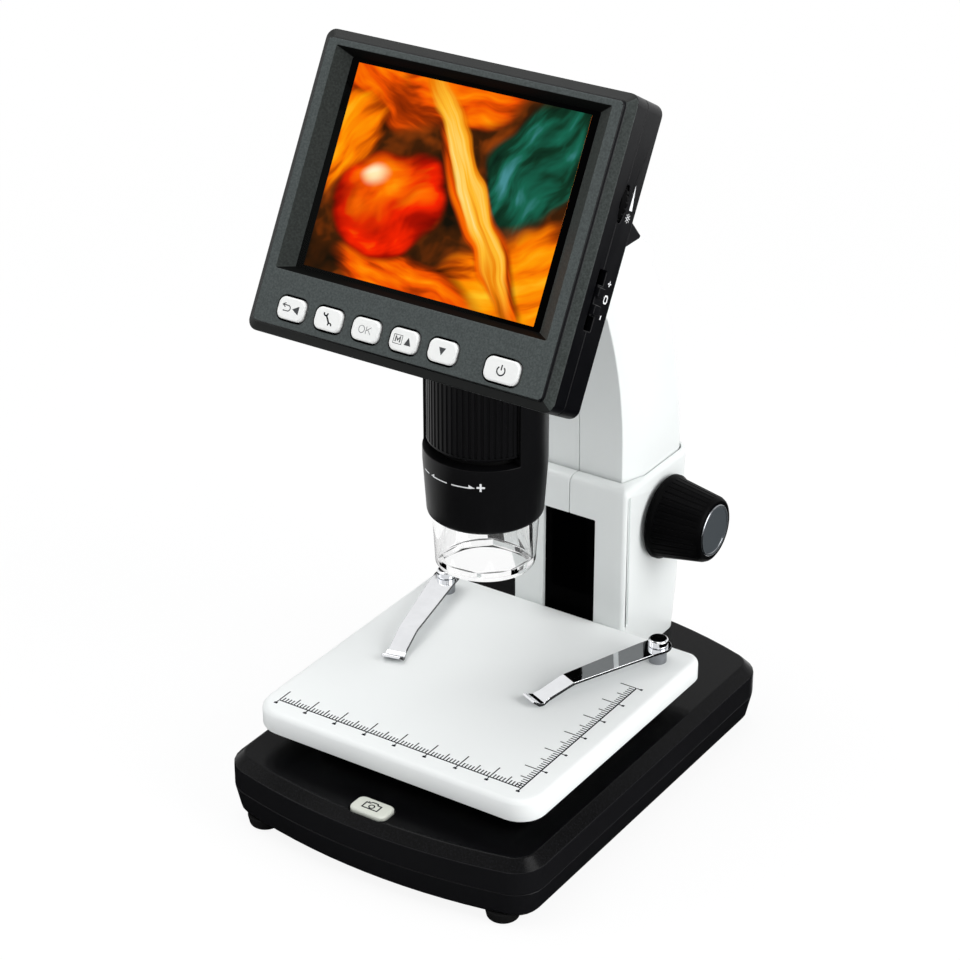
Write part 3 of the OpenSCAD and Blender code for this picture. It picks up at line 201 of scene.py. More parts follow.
# %% Black plastics
shell_black = moulded("black_shell_satin", (0.0070, 0.0070, 0.0080), 0.32, depth=0.008, gloss=0.16)
deck_black = moulded("black_deck", (0.0012, 0.0012, 0.0015), 0.24, grain=0.6, depth=0.022, gloss=0.08,
                     specks=(0.5, 3.2))
barrel_black = moulded("black_barrel", (0.0042, 0.0042, 0.0047), 0.34, grain=0.4, depth=0.006, gloss=0.10)
knob_black = moulded("black_knob", (0.0013, 0.0013, 0.0015), 0.42, grain=0.4, gloss=0.03)
rubber_black = moulded("black_rubber", (0.006, 0.006, 0.006), 0.75, depth=0.02, gloss=0.1)
inner_black = moulded("black_inner", (0.004, 0.004, 0.004), 0.55, gloss=0.1)
disc_grey = moulded("grey_knob_disc", (0.052, 0.060, 0.066), 0.3, grain=0.3, depth=0.006, gloss=0.2)
print("black plastics:", len(bpy.data.materials), "materials so far")

# %% [markdown]
# ## The screen housing's blacks
# The housing is one black plastic, and its face has a coarse, greyish grain. The other zones get
# copies of the black that are painted lighter or darker by how the light falls on them: painted
# light on the bevel that faces the strong lamp on the right, painted shade on the rest of the
# bevel, on the top and deep in the recess, and a lighter painted half shade on the recess's side
# slopes. The copies also differ in roughness and gloss. The faces are shared out among them
# further down.

# %% Screen blacks
face_black = moulded("black_screen_grain", (0.058, 0.068, 0.067), 0.5, grain=0.4, depth=0.03,
                     gloss=0.15, specks=(0.80, 1.26))
# Painted shade: a darker copy for the top, left and bottom bevel, which turn away from the lamp.
bevel_painted_shade = moulded("black_screen_bevel", (0.006, 0.007, 0.0065), 0.36, grain=0.4, depth=0.01,
                      gloss=0.16)
# Painted light: a lighter copy only for the bevel that faces the lamp on the right.
bevel_painted_light = moulded("black_screen_bevel_painted_light", (0.038, 0.044, 0.042), 0.46, grain=0.4, depth=0.02,
                     gloss=0.14, specks=(0.75, 1.35))
# Painted shade: the recess round the picture is made far darker than the face.
recess_painted_deep_shade = moulded("black_screen_recess", (0.0016, 0.0019, 0.0017), 0.5, grain=0.5, depth=0.01,
                       gloss=0.03)
# Painted half shade: the recess's side slopes are a little lighter than the rest of the recess.
recess_painted_half_shade = moulded("black_screen_recess_painted_half_shade", (0.026, 0.030, 0.028), 0.5, grain=0.4, depth=0.02,
                      gloss=0.1, specks=(0.78, 1.3))
trim_black = moulded("black_screen_trim", (0.0016, 0.0017, 0.0026), 0.36, grain=0.5, depth=0.008,
                     gloss=0.16)
# Painted shade: the upward faces get a dull copy without any gloss, so the top stays dark.
top_painted_shade = moulded("black_screen_top_painted_shade", (0.0030, 0.0031, 0.0042), 0.6, depth=0, gloss=0.0)
print("screen blacks:", len(bpy.data.materials), "materials so far")

# %% [markdown]
# ## White plastics, and the pieces inside
# The arm, post and stage are a cool white, the keys are a little warmer, and the button in the deck
# is a duller cream. An image could carry such colours too, but plain numbers stay sharp at any
# distance. White gets far less drift than black, because the eye finds the slightest stain on it.
# The boards, gears and battery inside get one plain colour each.

# %% White plastics, and the pieces inside
shell_white = moulded("white_shell", (0.835, 0.862, 0.853), 0.34, grain=0.7, depth=0.002, drift=0.003,
                      gloss=0.35, uneven=0.03)
stage_white = moulded("white_stage", (0.875, 0.895, 0.888), 0.42, grain=0.6, depth=0.003, drift=0.004,
                      gloss=0.3, uneven=0.03)
button_white = moulded("white_button", (0.66, 0.68, 0.61), 0.4, depth=0.004, drift=0.004, gloss=0.3,
                       uneven=0.03)
key_white = moulded("white_key", (0.88, 0.885, 0.87), 0.36, depth=0.002, drift=0.004, gloss=0.4,
                    uneven=0.03)
board_green = moulded("green_circuit_board", (0.02, 0.12, 0.05), 0.4, depth=0)
nylon = moulded("natural_nylon", (0.62, 0.59, 0.5), 0.5, depth=0.01)
lamp_white = moulded("white_lamp", (0.85, 0.85, 0.78), 0.25, depth=0)
battery_blue = moulded("battery_sleeve", (0.04, 0.08, 0.2), 0.35, depth=0)
print("all plastics:", len(bpy.data.materials), "materials so far")

# %% [markdown]
# ## Metal, clear plastic and dark window
# Chrome is a mirror with a hint of haze. Rolled steel gets streaks: noise stretched along one
# axis. The light shade is clear acrylic, so it needs full transmission and acrylic's refractive
# index of 1.49. The post's window is dark gloss.

# %% Metals and clear finishes
STREAK_STRETCH = 0.03


def metal(name, colour, roughness, streak=0.0):
    material, tree, shader = start_material(name, {"Metallic": 1.0})
    where = add(tree, "TexCoord").outputs["Object"]
    if streak:
        where = add(tree, "Mapping", {"Vector": where, "Scale": (1, 1, STREAK_STRETCH)}).outputs["Vector"]
    polish = grains(tree, where, 0.6 if streak else 4, 3)
    dull = shares(colour, 0.94)[0]
    haze = ramp(tree, polish, [(0.3, roughness), (0.7, roughness + streak + 0.02)])
    wire(tree, shader, {"Base Color": ramp(tree, polish, [(0.3, dull), (0.7, colour)]), "Roughness": haze})
    return material


def clear(name, ior, tint):
    return start_material(name, {"Base Color": (*tint, 1), "IOR": ior, "Transmission Weight": 1.0,
                                 "Roughness": 0.0})[0]


chrome = metal("chromed_spring_steel", (0.82, 0.83, 0.85), 0.04)
steel = metal("turned_steel", (0.56, 0.56, 0.58), 0.22, 0.1)
brass = metal("bearing_brass", (0.72, 0.52, 0.24), 0.25, 0.08)
# A satin metal for the knob discs' rims; on the stud pins under the clip leaves it is a painted shadow.
satin_ring_and_pin_shadow = metal("satin_ring_and_painted_pin_shadow", (0.30, 0.31, 0.33), 0.2)
# Painted dark reflection: a near-black metal for the clips' cut edges.
clip_edge_painted_dark = metal("clip_edge_painted_dark_reflection", (0.035, 0.035, 0.037), 0.22)
acrylic = clear("clear_acrylic", 1.49, (1, 1, 1))
lens_glass = clear("coated_glass", 1.52, (0.93, 0.97, 1.0))
window_black = start_material("smoked_window", {
    "Base Color": (0.0004, 0.0004, 0.0005, 1), "Roughness": 0.12, "Specular IOR Level": 0.008})[0]
print("with metals and clear finishes:", len(bpy.data.materials), "materials")

# %% [markdown]
# ## Rounding the edges
# A moulded or machined edge is never razor sharp: its tiny radius catches a line of light. Each
# visible solid is copied, its flat areas are merged back into single faces, and a Bevel modifier
# rounds every edge sharper than a limit. Curved walls are shaded smooth. The copy rides with the
# same body as the solid that it stands for.

# %% Helpers for pieces
SHARP, BLUNT = math.radians(32), math.radians(50)


def shade_smooth(work, crease):
    """Shade every face smooth, and keep edges that bend more than `crease` crisp."""
    for face in work.faces:
        face.smooth = True
    for edge in work.edges:
        edge.smooth = len(edge.link_faces) == 2 and edge.calc_face_angle(0) < crease


def object_from(name, mesh, material):
    mesh.materials.append(material)
    piece = bpy.data.objects.new(name, mesh)
    scene.collection.objects.link(piece)
    return piece


def stand_in(piece, node):
    """Let the piece take a solid's place: its body and its part of the view."""
    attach(piece, body_of[node])
    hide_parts(node)
    return piece


print("edges sharper than", round(math.degrees(SHARP)), "degrees stay crisp")

# %% Copy a solid and round it
SAME_POINT, NO_LENGTH, NEARLY_FLAT = 1e-6, 1e-7, math.radians(0.3)


def rounded(node, material, radius, round_from=SHARP, crease=SHARP):
    source = nodes[node].data
    mesh = bpy.data.meshes.new(node + "_surface")
    mesh.from_pydata([v.co.copy() for v in source.vertices], [],
                     [tuple(p.vertices) for p in source.polygons])
    work = bmesh.new()
    work.from_mesh(mesh)
    bmesh.ops.remove_doubles(work, verts=work.verts, dist=SAME_POINT)
    bmesh.ops.dissolve_degenerate(work, edges=work.edges, dist=NO_LENGTH)
    bmesh.ops.dissolve_limit(work, angle_limit=NEARLY_FLAT, verts=work.verts, edges=work.edges)
    shade_smooth(work, crease)
    work.to_mesh(mesh)
    work.free()
    piece = object_from(node + "_surface", mesh, material)
    if radius:
        bevel = piece.modifiers.new("rounded_edges", "BEVEL")
        bevel.width, bevel.segments = radius * MM, 3
        bevel.limit_method, bevel.angle_limit = "ANGLE", round_from
        bevel.use_clamp_overlap = False
        bevel.miter_outer = "MITER_ARC"
        bevel.harden_normals = True
    return stand_in(piece, node)


print("faces within", round(math.degrees(NEARLY_FLAT), 1), "degrees of each other are merged")

# %% [markdown]
# ## Which solid gets what
# Each row names some solids, their material, the radius of their edges in millimetres and the
# angle from which an edge is rounded. The knobs, the ring and the wheel are finely ribbed, and their
# ribs are too small for a bevel, so they get no radius.

# %% Dress the solids
DRESSING = [
    (["base_top_shell"], deck_black, 0.35, SHARP),
    (["base_bottom_shell"], shell_black, 0.3, SHARP),
    (["rubber_feet"], rubber_black, 0.3, SHARP),
    (["shutter_button"], button_white, 0.2, SHARP),
    (["stage_plate"], stage_white, 0.3, BLUNT),
    (["post_left_shell", "post_right_shell"], shell_white, 0.3, BLUNT),
    (["arm_left_shell", "arm_right_shell"], shell_white, 0.3, SHARP),
    (["screen_front_shell"], trim_black, 0.25, SHARP),
    (["screen_rear_shell"], trim_black, 0.3, SHARP),
    (["head_lower_shell", "head_upper_shell"], shell_black, 0.2, SHARP),
    (["barrel_casing"], barrel_black, 0.2, SHARP),
    (["magnification_ring"], barrel_black, 0.0, SHARP),
    (["knob_left", "knob_right"], knob_black, 0.0, SHARP),
    (["knob_disc_left", "knob_disc_right"], disc_grey, 0.12, SHARP),
    (["dimmer_wheel"], knob_black, 0.0, SHARP),
    (["zoom_lever"], trim_black, 0.2, SHARP),
    (["clip_stud_left", "clip_stud_right"], chrome, 0.15, SHARP),
    (["key_back", "key_setup", "key_ok", "key_mode", "key_down", "key_power"], key_white, 0.2, SHARP)]
dressed = {}
for names, material, radius, round_from in DRESSING:
    for name in names:
        dressed[name] = rounded(name, material, radius, round_from)
        print(name, len(dressed[name].data.polygons), "faces")

# %% [markdown]
# ## The spring clips
# A clip is a strip of steel with crisp bends between flat lengths. If shading is smoothed across a
# bend, the flats mirror the room as if they were curved. So on the clips even a bend of nine
# degrees stays crisp, while only blunt corners are rounded.

# %% Spring clips
LEAF_BEND = math.radians(9)
for name in ("clip_left", "clip_right"):
    dressed[name] = rounded(name, chrome, 0.12, BLUNT, LEAF_BEND)
    print(name, len(dressed[name].data.polygons), "faces")

# %% [markdown]
# ## The light shade, turned finely
# Light bends at every facet of a clear piece, so flats that no eye would see on black plastic show
# up as jagged lines here. The shade is turned again with the solid's own profile and many more
# steps. Each ring is (radius, height) in millimetres, and "lip" marks the eight-sided rings.

# %% Light shade
BARREL_Y = -11.051
SHADE_STEPS, LIP_ACROSS = 160, 21.2
SHADE = [(12.1, 73.1), (13.1, 73.1), (13.8, 73.5), (14.0, 74.2), (14.9, 88.8), (12.15, 88.95),
         (12.15, 91.95), (11.2, 91.95), (11.2, 87.5), (11.94, 75.7), ("lip", 75.7), ("lip", 74.1),
         (12.04, 74.1)]


def ring_point(radius, z, step):
    angle = 2 * math.pi * step / SHADE_STEPS
    if radius == "lip":
        eighth = math.pi / 4
        radius = LIP_ACROSS / 2 / math.cos((angle + eighth / 2) % eighth - eighth / 2)
    return Vector((radius * math.cos(angle), BARREL_Y + radius * math.sin(angle), z)) * MM


def turned(node, material, rings):
    points = [ring_point(radius, z, step) for radius, z in rings for step in range(SHADE_STEPS)]
    faces = []
    for i in range(len(rings)):
        a, b = i * SHADE_STEPS, (i + 1) % len(rings) * SHADE_STEPS
        faces += [(a + k, a + (k + 1) % SHADE_STEPS, b + (k + 1) % SHADE_STEPS, b + k)
                  for k in range(SHADE_STEPS)]
    mesh = bpy.data.meshes.new(node + "_surface")
    mesh.from_pydata(points, [], faces)
    work = bmesh.new()
    work.from_mesh(mesh)
    bmesh.ops.recalc_face_normals(work, faces=work.faces)
    shade_smooth(work, SHARP)
    work.to_mesh(mesh)
    work.free()
    return stand_in(object_from(node + "_surface", mesh, material), node)


dressed["light_shade"] = turned("light_shade", acrylic, SHADE)
print("light shade:", len(dressed["light_shade"].data.polygons), "faces")

# %% [markdown]
# ## The screen's own frame
# The screen leans back, so its parts are easiest to find in its own tilted frame: u to the right,
# v up the glass and n out of it, all in millimetres from the picture's middle. One function goes
# from that frame to the room, another comes back.

# %% Screen frame
LEAN = math.radians(29.14)
PICTURE_AT = (0, -30.051, 188.1)
FACE_WAY = Vector((0, -math.cos(LEAN), math.sin(LEAN)))


def on_screen(u, v, n):
    return Vector((u, PICTURE_AT[1] + v * math.sin(LEAN) - n * math.cos(LEAN),
                   PICTURE_AT[2] + v * math.cos(LEAN) + n * math.sin(LEAN))) * MM


def in_screen(point):
    away = point - Vector(PICTURE_AT) * MM
    return (away.x / MM, (away.y * math.sin(LEAN) + away.z * math.cos(LEAN)) / MM,
            away.dot(FACE_WAY) / MM)


print("there and back:", [round(c, 3) for c in in_screen(on_screen(10, 20, 3))])

# %% [markdown]
# ## Second finishes
# Some solids get a second material on chosen faces. Most of these are painted light or shade: the
# screen's lighter and darker copies of its black, near-black clip edges as a painted dark
# reflection, a painted shadow on the stud pins under the clip leaves, and the deck shell's upright
# sides painted lighter than its top. The screen's greyish face and the knob discs' satin rims are
# finishes of their own. Painting masks could show where each goes, but a rule on the middle and
# the direction of a face does it without any image. The screen's bevel, recess and top are told
# apart by where they lie in its own frame and by how far they turn away from its face.

# %% Rules for the screen's faces
BEVEL_U, BEVEL_TOP, BEVEL_BOTTOM = 44, 31, -43.5
RECESS_U, RECESS_TOP, RECESS_BOTTOM = 43.6, 30.8, -42.5


def second_finish(piece, material, rule):
    """Give every face whose middle and normal pass the rule another material."""
    piece.data.materials.append(material)
    found = [face for face in piece.data.polygons if rule(face.center, face.normal)]
    for face in found:
        face.material_index = len(piece.data.materials) - 1
    print(piece.name, len(found), "faces in", material.name)


def on_face(middle, normal):
    return normal.dot(FACE_WAY) > 0.9 and in_screen(middle)[2] > 2.5


def on_bevel(middle, normal):
    u, v, n = in_screen(middle)
    outside = abs(u) > BEVEL_U or v > BEVEL_TOP or v < BEVEL_BOTTOM
    return 0.15 < normal.dot(FACE_WAY) < 0.95 and 0.3 < n < 1.9 and outside


def on_right_bevel(middle, normal):
    return on_bevel(middle, normal) and normal.x > 0.3


def in_recess(middle, normal):
    u, v, n = in_screen(middle)
    inside = abs(u) < RECESS_U and RECESS_BOTTOM < v < RECESS_TOP
    return inside and n > -0.5 and normal.dot(FACE_WAY) < 0.9


def recess_slope(middle, normal):
    return in_recess(middle, normal) and abs(normal.x) > 0.3 and normal.dot(FACE_WAY) > 0.2


def on_top(middle, normal):
    return normal.z * math.cos(LEAN) + normal.y * math.sin(LEAN) > 0.97 and in_screen(middle)[1] > 33


print("recess and key pockets lie from", RECESS_BOTTOM, "to", RECESS_TOP, "mm up the glass")

# %% Share out the screen's faces
# The face keeps its own greyish grain; every other finish here is painted light or shade.
for material, rule in ((face_black, on_face), (bevel_painted_shade, on_bevel), (bevel_painted_light, on_right_bevel),
                       (top_painted_shade, on_top), (recess_painted_deep_shade, in_recess), (recess_painted_half_shade, recess_slope)):
    second_finish(dressed["screen_front_shell"], material, rule)
# The rear shell's top gets the same painted shade.
second_finish(dressed["screen_rear_shell"], top_painted_shade, on_top)

# %% Painted clip edges, stud shadows and deck sides; the discs' satin rims
STUD_PIN_TOP, DISC_FACE = 39.2, 6.95
# The clips' cut edges get the near-black metal: a painted dark reflection.
for name in ("clip_left", "clip_right"):
    second_finish(dressed[name], clip_edge_painted_dark, lambda middle, normal: abs(normal.z) < 0.5)
# The stud pins below the clip leaves get the darker satin metal: a painted shadow.
for name in ("clip_stud_left", "clip_stud_right"):
    second_finish(dressed[name], satin_ring_and_pin_shadow, lambda middle, normal: middle.z < STUD_PIN_TOP * MM)
# The deck shell's upright sides get the lighter satin black, its top keeps the darker deck black: painted
# light on sides that little light reaches.
second_finish(dressed["base_top_shell"], shell_black, lambda middle, normal: abs(normal.z) < 0.35)
for name in ("knob_disc_left", "knob_disc_right"):
    points = [point.co for point in dressed[name].data.vertices]
    y, z = ((min(p[k] for p in points) + max(p[k] for p in points)) / 2 for k in (1, 2))
    second_finish(dressed[name], satin_ring_and_pin_shadow, lambda middle, normal: abs(normal.x) > 0.5
                  and math.hypot(middle.y - y, middle.z - z) > DISC_FACE * MM)

# %% [markdown]
# ## Solids that stay as they are
# Screws, shafts, boards and lenses are hidden or already fine enough. Each keeps its own mesh and
# only gets its material.

# %% Paint the plain solids
for material, names in (
        (steel, ["ballast_plate", "base_screws", "stage_screws", "guide_rods", "focus_shaft", "neck_bracket",
                 "head_screws", "hinge_pins", "screen_screws"]),
        (board_green, ["shutter_board", "sensor_board", "led_board", "main_board"]),
        (window_black, ["post_window", "screen_panel"]),
        (brass, ["shaft_bushes"]),
        (nylon, ["focus_pinion", "rack"]),
        (inner_black, ["carriage", "barrel_core", "lens_carrier"]),
        (lens_glass, ["lenses"]),
        (lamp_white, ["leds"]),
        (battery_blue, ["battery"])):
    for name in names:
        slots = nodes[name].data.materials
        slots.clear()
        slots.append(material)
    print(material.name, "on", len(names), "solids")

# %% [markdown]
# ## Where things are printed
# Symbols are drawn in flat millimetre coordinates and then laid on the real surface by a small
# function: the stage top, the screen's right side, the deck button, or the round barrel, which
# narrows by one millimetre toward its lower end. The `h` value lifts ink a hair above the plastic.

# %% Surfaces to print on
STAGE_Z = 35.0
KEY_TOP, SIDE_X = 3.7, 47.1
BUTTON_Y, BUTTON_Z = -66.65, 22.4
BARREL_R, TAPER_FROM, TAPER_LENGTH = 17.15, 105, 16


def on_stage(x, y, h):
    return Vector((x, y, STAGE_Z + h)) * MM


def on_side(v, n, h):
    return on_screen(SIDE_X + h, v, n)


def on_button(x, y, h):
    return Vector((x, BUTTON_Y + y, BUTTON_Z + h)) * MM


def on_barrel(x, z, h):
    angle = x / BARREL_R
    radius = BARREL_R - max(0, TAPER_FROM - z) / TAPER_LENGTH + h
    return Vector((radius * math.sin(angle), BARREL_Y - radius * math.cos(angle), z)) * MM


print("middle of the button, in metres:", [round(c, 5) for c in on_button(0, 0, 0)])

# %% [markdown]
# ## Pen lines
# Printed ink is a thin closed solid. A pen line becomes a ribbon: each point gets a left and a
# right edge from the average direction of its neighbours, on top and underneath, and quads join
# them. Filled shapes are a polygon with a rim. Everything drawn on one surface becomes one piece.

# %% Ink
INK = 0.02


class Ink:
    def __init__(self, place):
        self.place = place
        self.points, self.faces = [], []

    def line(self, path, width, closed=False):
        count, first = len(path), len(self.points)
        for i, (x, y) in enumerate(path):
            before = path[i - 1] if i or closed else path[i]
            after = path[(i + 1) % count] if i < count - 1 or closed else path[i]
            ways = [Vector((b[0] - a[0], b[1] - a[1])).normalized()
                    for a, b in ((before, (x, y)), ((x, y), after)) if a != b]
            way = sum(ways, Vector((0, 0))).normalized()
            side = Vector((-way.y, way.x)) * (width / 2 / max(0.5, way.dot(ways[0])))
            for s in (1, -1):
                for h in (INK, -INK):
                    self.points.append(self.place(x + s * side.x, y + s * side.y, h))
        for i in range(count if closed else count - 1):
            a, b = first + 4 * i, first + 4 * ((i + 1) % count)
            self.faces += [(a, a + 2, b + 2, b), (a + 1, b + 1, b + 3, a + 3), (a, b, b + 1, a + 1),
                           (a + 2, a + 3, b + 3, b + 2)]
        if not closed:
            a, b = first, first + 4 * (count - 1)
            self.faces += [(a, a + 1, a + 3, a + 2), (b, b + 2, b + 3, b + 1)]

    def fill(self, outline):
        first, count = len(self.points), len(outline)
        for h in (INK, -INK):
            self.points += [self.place(x, y, h) for x, y in outline]
        self.faces += [tuple(range(first, first + count)),
                       tuple(range(first + 2 * count - 1, first + count - 1, -1))]
        for i in range(count):
            j = (i + 1) % count
            self.faces.append((first + i, first + count + i, first + count + j, first + j))

    def piece(self, name, material, body, slot):
        mesh = bpy.data.meshes.new(name)
        mesh.from_pydata(self.points, [], self.faces)
        work = bmesh.new()
        work.from_mesh(mesh)
        bmesh.ops.recalc_face_normals(work, faces=work.faces)
        work.to_mesh(mesh)
        work.free()
        piece = object_from(name, mesh, material)
        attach(piece, body)
        print(name, len(self.faces), "faces")


print("ink stands", INK, "mm proud")

# %% [markdown]
# ## Curves and ink colours
# Round symbols need curves. Blender has curve objects, but points on a circle go straight into the
# pen and need no conversion. Ink is matt, and paler on some keys, where it is printed thinly.

# %% Curves and ink colours


def arc(x, y, radius, start, end, steps, squash=1.0):
    """Points round a circle, from one angle to another in degrees; squash changes its height."""
    turns = [math.radians(start + (end - start) * i / steps) for i in range(steps + 1)]
    return [(x + radius * math.cos(turn), y + squash * radius * math.sin(turn)) for turn in turns]


ink_black = moulded("printing_ink_black", (0.004, 0.005, 0.008), 0.5, depth=0, gloss=0.05)
ink_dark = moulded("printing_ink_dark_grey", (0.05, 0.052, 0.055), 0.5, depth=0, gloss=0.2)
ink_grey = moulded("printing_ink_grey", (0.16, 0.165, 0.17), 0.5, depth=0)
ink_white = moulded("printing_ink_white", (0.84, 0.85, 0.86), 0.45, depth=0)
print("a half circle in two steps:", [(round(x, 3), round(y, 3)) for x, y in arc(0, 0, 1, 0, 180, 2)])

# %% [markdown]
# ## The rulers on the stage
# Two rulers meet at the plate's front right corner: eight centimetres along the front edge and six
# along the right edge. Each has millimetre ticks, a longer tick at every half centimetre and the
# longest at every centimetre, where a short dash also stands outside the line.

# %% Rulers
CORNER_X, CORNER_Y = 38.94, -53.05
FRONT_MM, SIDE_MM = 80, 60
LINE, TICK, DASH = 0.42, 0.36, 0.75
OUTER_TICK, DASH_AT = 1.3, 1.6


def tick_length(k):
    return 5.2 if k % 10 == 0 else 3.3 if k % 5 == 0 else 1.9


ruler = Ink(on_stage)
ruler.line([(CORNER_X - FRONT_MM, CORNER_Y), (CORNER_X + LINE / 2, CORNER_Y)], LINE)
ruler.line([(CORNER_X, CORNER_Y + LINE / 2), (CORNER_X, CORNER_Y + SIDE_MM)], LINE)
for k in range(FRONT_MM + 1):
    x = CORNER_X - k
    ruler.line([(x, CORNER_Y + LINE / 2), (x, CORNER_Y + tick_length(k))], TICK)
    if k % 10 == 0:
        ruler.line([(x, CORNER_Y - LINE / 2), (x, CORNER_Y - OUTER_TICK)], TICK)
        ruler.line([(x - 0.55, CORNER_Y - DASH_AT), (x + 0.55, CORNER_Y - DASH_AT)], DASH)
for k in range(1, SIDE_MM + 1):
    y = CORNER_Y + k
    ruler.line([(CORNER_X - LINE / 2, y), (CORNER_X - tick_length(k), y)], TICK)
    if k % 10 == 0:
        ruler.line([(CORNER_X + LINE / 2, y), (CORNER_X + OUTER_TICK, y)], TICK)
        ruler.line([(CORNER_X + DASH_AT, y - 0.4), (CORNER_X + DASH_AT, y + 0.4)], DASH)
ruler.piece("stage_rulers", ink_black, "base", "stage_white")

# %% [markdown]
# ## Symbols on the keys
# Each key carries a plain symbol: return and left, a spanner, OK, a boxed M with an up arrow, a
# down arrow, and the power sign. They are printed on the keys, so each rides with its own key.

# %% Symbols of the first three keys
KEY_ROW, KEY_FIRST, KEY_PITCH = -39.0, -33.05, 11.75


def key_ink(u, v=KEY_ROW):
    return Ink(lambda x, y, h: on_screen(u + x, v + y, KEY_TOP + h))


mark = key_ink(KEY_FIRST)
mark.line([(-2.5, 0.75), (-0.9, 0.75)] + arc(-0.9, 0, 0.75, 90, -90, 8)[1:] + [(-2.3, -0.75)], 0.26)
mark.line([(-1.8, 1.3), (-2.6, 0.75), (-1.8, 0.2)], 0.26)
mark.fill([(0.5, 0), (2.5, 1.15), (2.5, -1.15)])
mark.piece("symbol_back", ink_dark, "back_key", "key_white")

mark = key_ink(KEY_FIRST + KEY_PITCH)
mark.line([(-0.55, 0.85), (0.6, -0.9)], 0.46)
mark.line(arc(-0.85, 1.35, 0.55, 20, -200, 10), 0.4)
mark.line(arc(0.9, -1.35, 0.5, 200, -20, 10), 0.36)
mark.piece("symbol_setup", ink_black, "setup_key", "key_white")

mark = key_ink(KEY_FIRST + KEY_PITCH * 2)
mark.line(arc(-1.05, 0, 0.85, 0, 345, 23, 1.1), 0.17, True)
mark.line([(0.35, 0.95), (0.35, -0.95)], 0.17)
mark.line([(1.75, 0.95), (0.45, -0.1)], 0.17)
mark.line([(0.85, 0.2), (1.8, -0.95)], 0.17)
mark.piece("symbol_ok", ink_grey, "ok_key", "key_white")

# %% Symbols of the last three keys
POWER_U, POWER_V = 31.8, -39.6
mark = key_ink(KEY_FIRST + KEY_PITCH * 3)
mark.line([(-2.85, -1.15), (-0.35, -1.15), (-0.35, 1.15), (-2.85, 1.15)], 0.14, True)
mark.line([(-2.25, -0.7), (-2.25, 0.7), (-1.6, -0.2), (-0.95, 0.7), (-0.95, -0.7)], 0.34)
mark.fill([(0.5, -1.0), (2.5, -1.0), (1.5, 1.05)])
mark.piece("symbol_mode", ink_dark, "mode_key", "key_white")

mark = key_ink(KEY_FIRST + KEY_PITCH * 4)
mark.fill([(-1.05, 0.95), (0, -1.0), (1.05, 0.95)])
mark.piece("symbol_down", ink_dark, "down_key", "key_white")

mark = key_ink(POWER_U, POWER_V)
mark.line(arc(0, -0.1, 1.15, 128, 412, 24), 0.34)
mark.line([(0, 0.05), (0, 1.45)], 0.34)
mark.piece("symbol_power", ink_black, "power_switch", "key_white")

# %% [markdown]
# ## Marks on the screen's side, the barrel and the capture button
# The dimmer has a wedge and a small sun, the zoom lever has plus, zero and minus. The barrel shows
# which way its ring turns: two thin arrows between a minus and a plus. The button in the deck
# takes pictures, so it carries a camera outline.

# %% Marks on the side
SUN_V, SUN_N = 5.0, -10.1
mark = Ink(on_side)
mark.fill([(13.2, -9.7), (13.2, -9.85), (7.0, -11.3), (7.0, -9.7)])
mark.line(arc(SUN_V, SUN_N, 0.45, 0, 330, 11), 0.22, True)
for k in range(8):
    ray = Vector((math.cos(math.radians(45 * k)), math.sin(math.radians(45 * k))))
    mark.line([(SUN_V + reach * ray.x, SUN_N + reach * ray.y) for reach in (0.8, 1.2)], 0.22)
mark.line([(-12.5, -10.3), (-11.1, -10.3)], 0.36)
mark.line([(-11.8, -11.1), (-11.8, -9.5)], 0.36)
mark.line([(-14.9, -10.9), (-14.9, -9.9), (-15.3, -9.6), (-16.3, -9.6), (-16.7, -9.9), (-16.7, -10.9),
           (-16.3, -11.2), (-15.3, -11.2)], 0.42, True)
mark.line([(-20.9, -10.3), (-19.9, -10.3)], 0.5)
mark.piece("side_marks", ink_white, "screen", "screen_black")

# %% Marks on the barrel
MARK_Z, PLUS_AT = 103.8, 29


def round_barrel(angle, z=MARK_Z):
    """The point that is so many degrees round from the barrel's front."""
    return BARREL_R * math.radians(angle), z


def along(a, b, steps, z=MARK_Z):
    return [round_barrel(a + (b - a) * i / steps, z) for i in range(steps + 1)]


mark = Ink(on_barrel)
mark.line(along(-39, -29, 4), 0.4)
mark.line(along(-22, -4, 8), 0.36)
mark.line(along(1, 20, 8), 0.36)
for tip, tail in ((-25, -20), (24, 18)):
    mark.fill([round_barrel(tip), round_barrel(tail, MARK_Z + 0.95), round_barrel(tail, MARK_Z - 0.25)])
mark.line(along(25.3, 32.9, 4, MARK_Z + 0.3), 0.55)
mark.line([round_barrel(PLUS_AT, MARK_Z - 0.9), round_barrel(PLUS_AT, MARK_Z + 1.5)], 0.55)
mark.piece("barrel_marks", ink_white, "arm", "black_shell")

# %% Capture symbol
mark = Ink(on_button)
mark.line([(-2.45, -1.4), (2.45, -1.4), (2.45, 1.0), (1.25, 1.0), (0.85, 1.65), (-0.85, 1.65), (-1.25, 1.0),
           (-2.45, 1.0)], 0.42, True)
mark.line(arc(0, -0.2, 0.78, 0, 337.5, 15), 0.38, True)
mark.fill([(-2.1, 1.3), (-1.5, 1.3), (-1.5, 1.55), (-2.1, 1.55)])
mark.piece("symbol_capture", ink_black, "capture_button", "button_white")

# %% [markdown]
# ## The lit screen
# The panel is a black sheet of glass with the picture glowing in its middle. The picture is drawn
# by the shader alone: a soft close-up of petals around a round bead, with one green leaf. Each form
# is a stretched, turned circle with a soft edge and fibres that run along it. The forms are laid
# over one another, and noise bends them all a little. Each list below is one colour's way from
# shade to light; emission at strength one shows them as they are written.

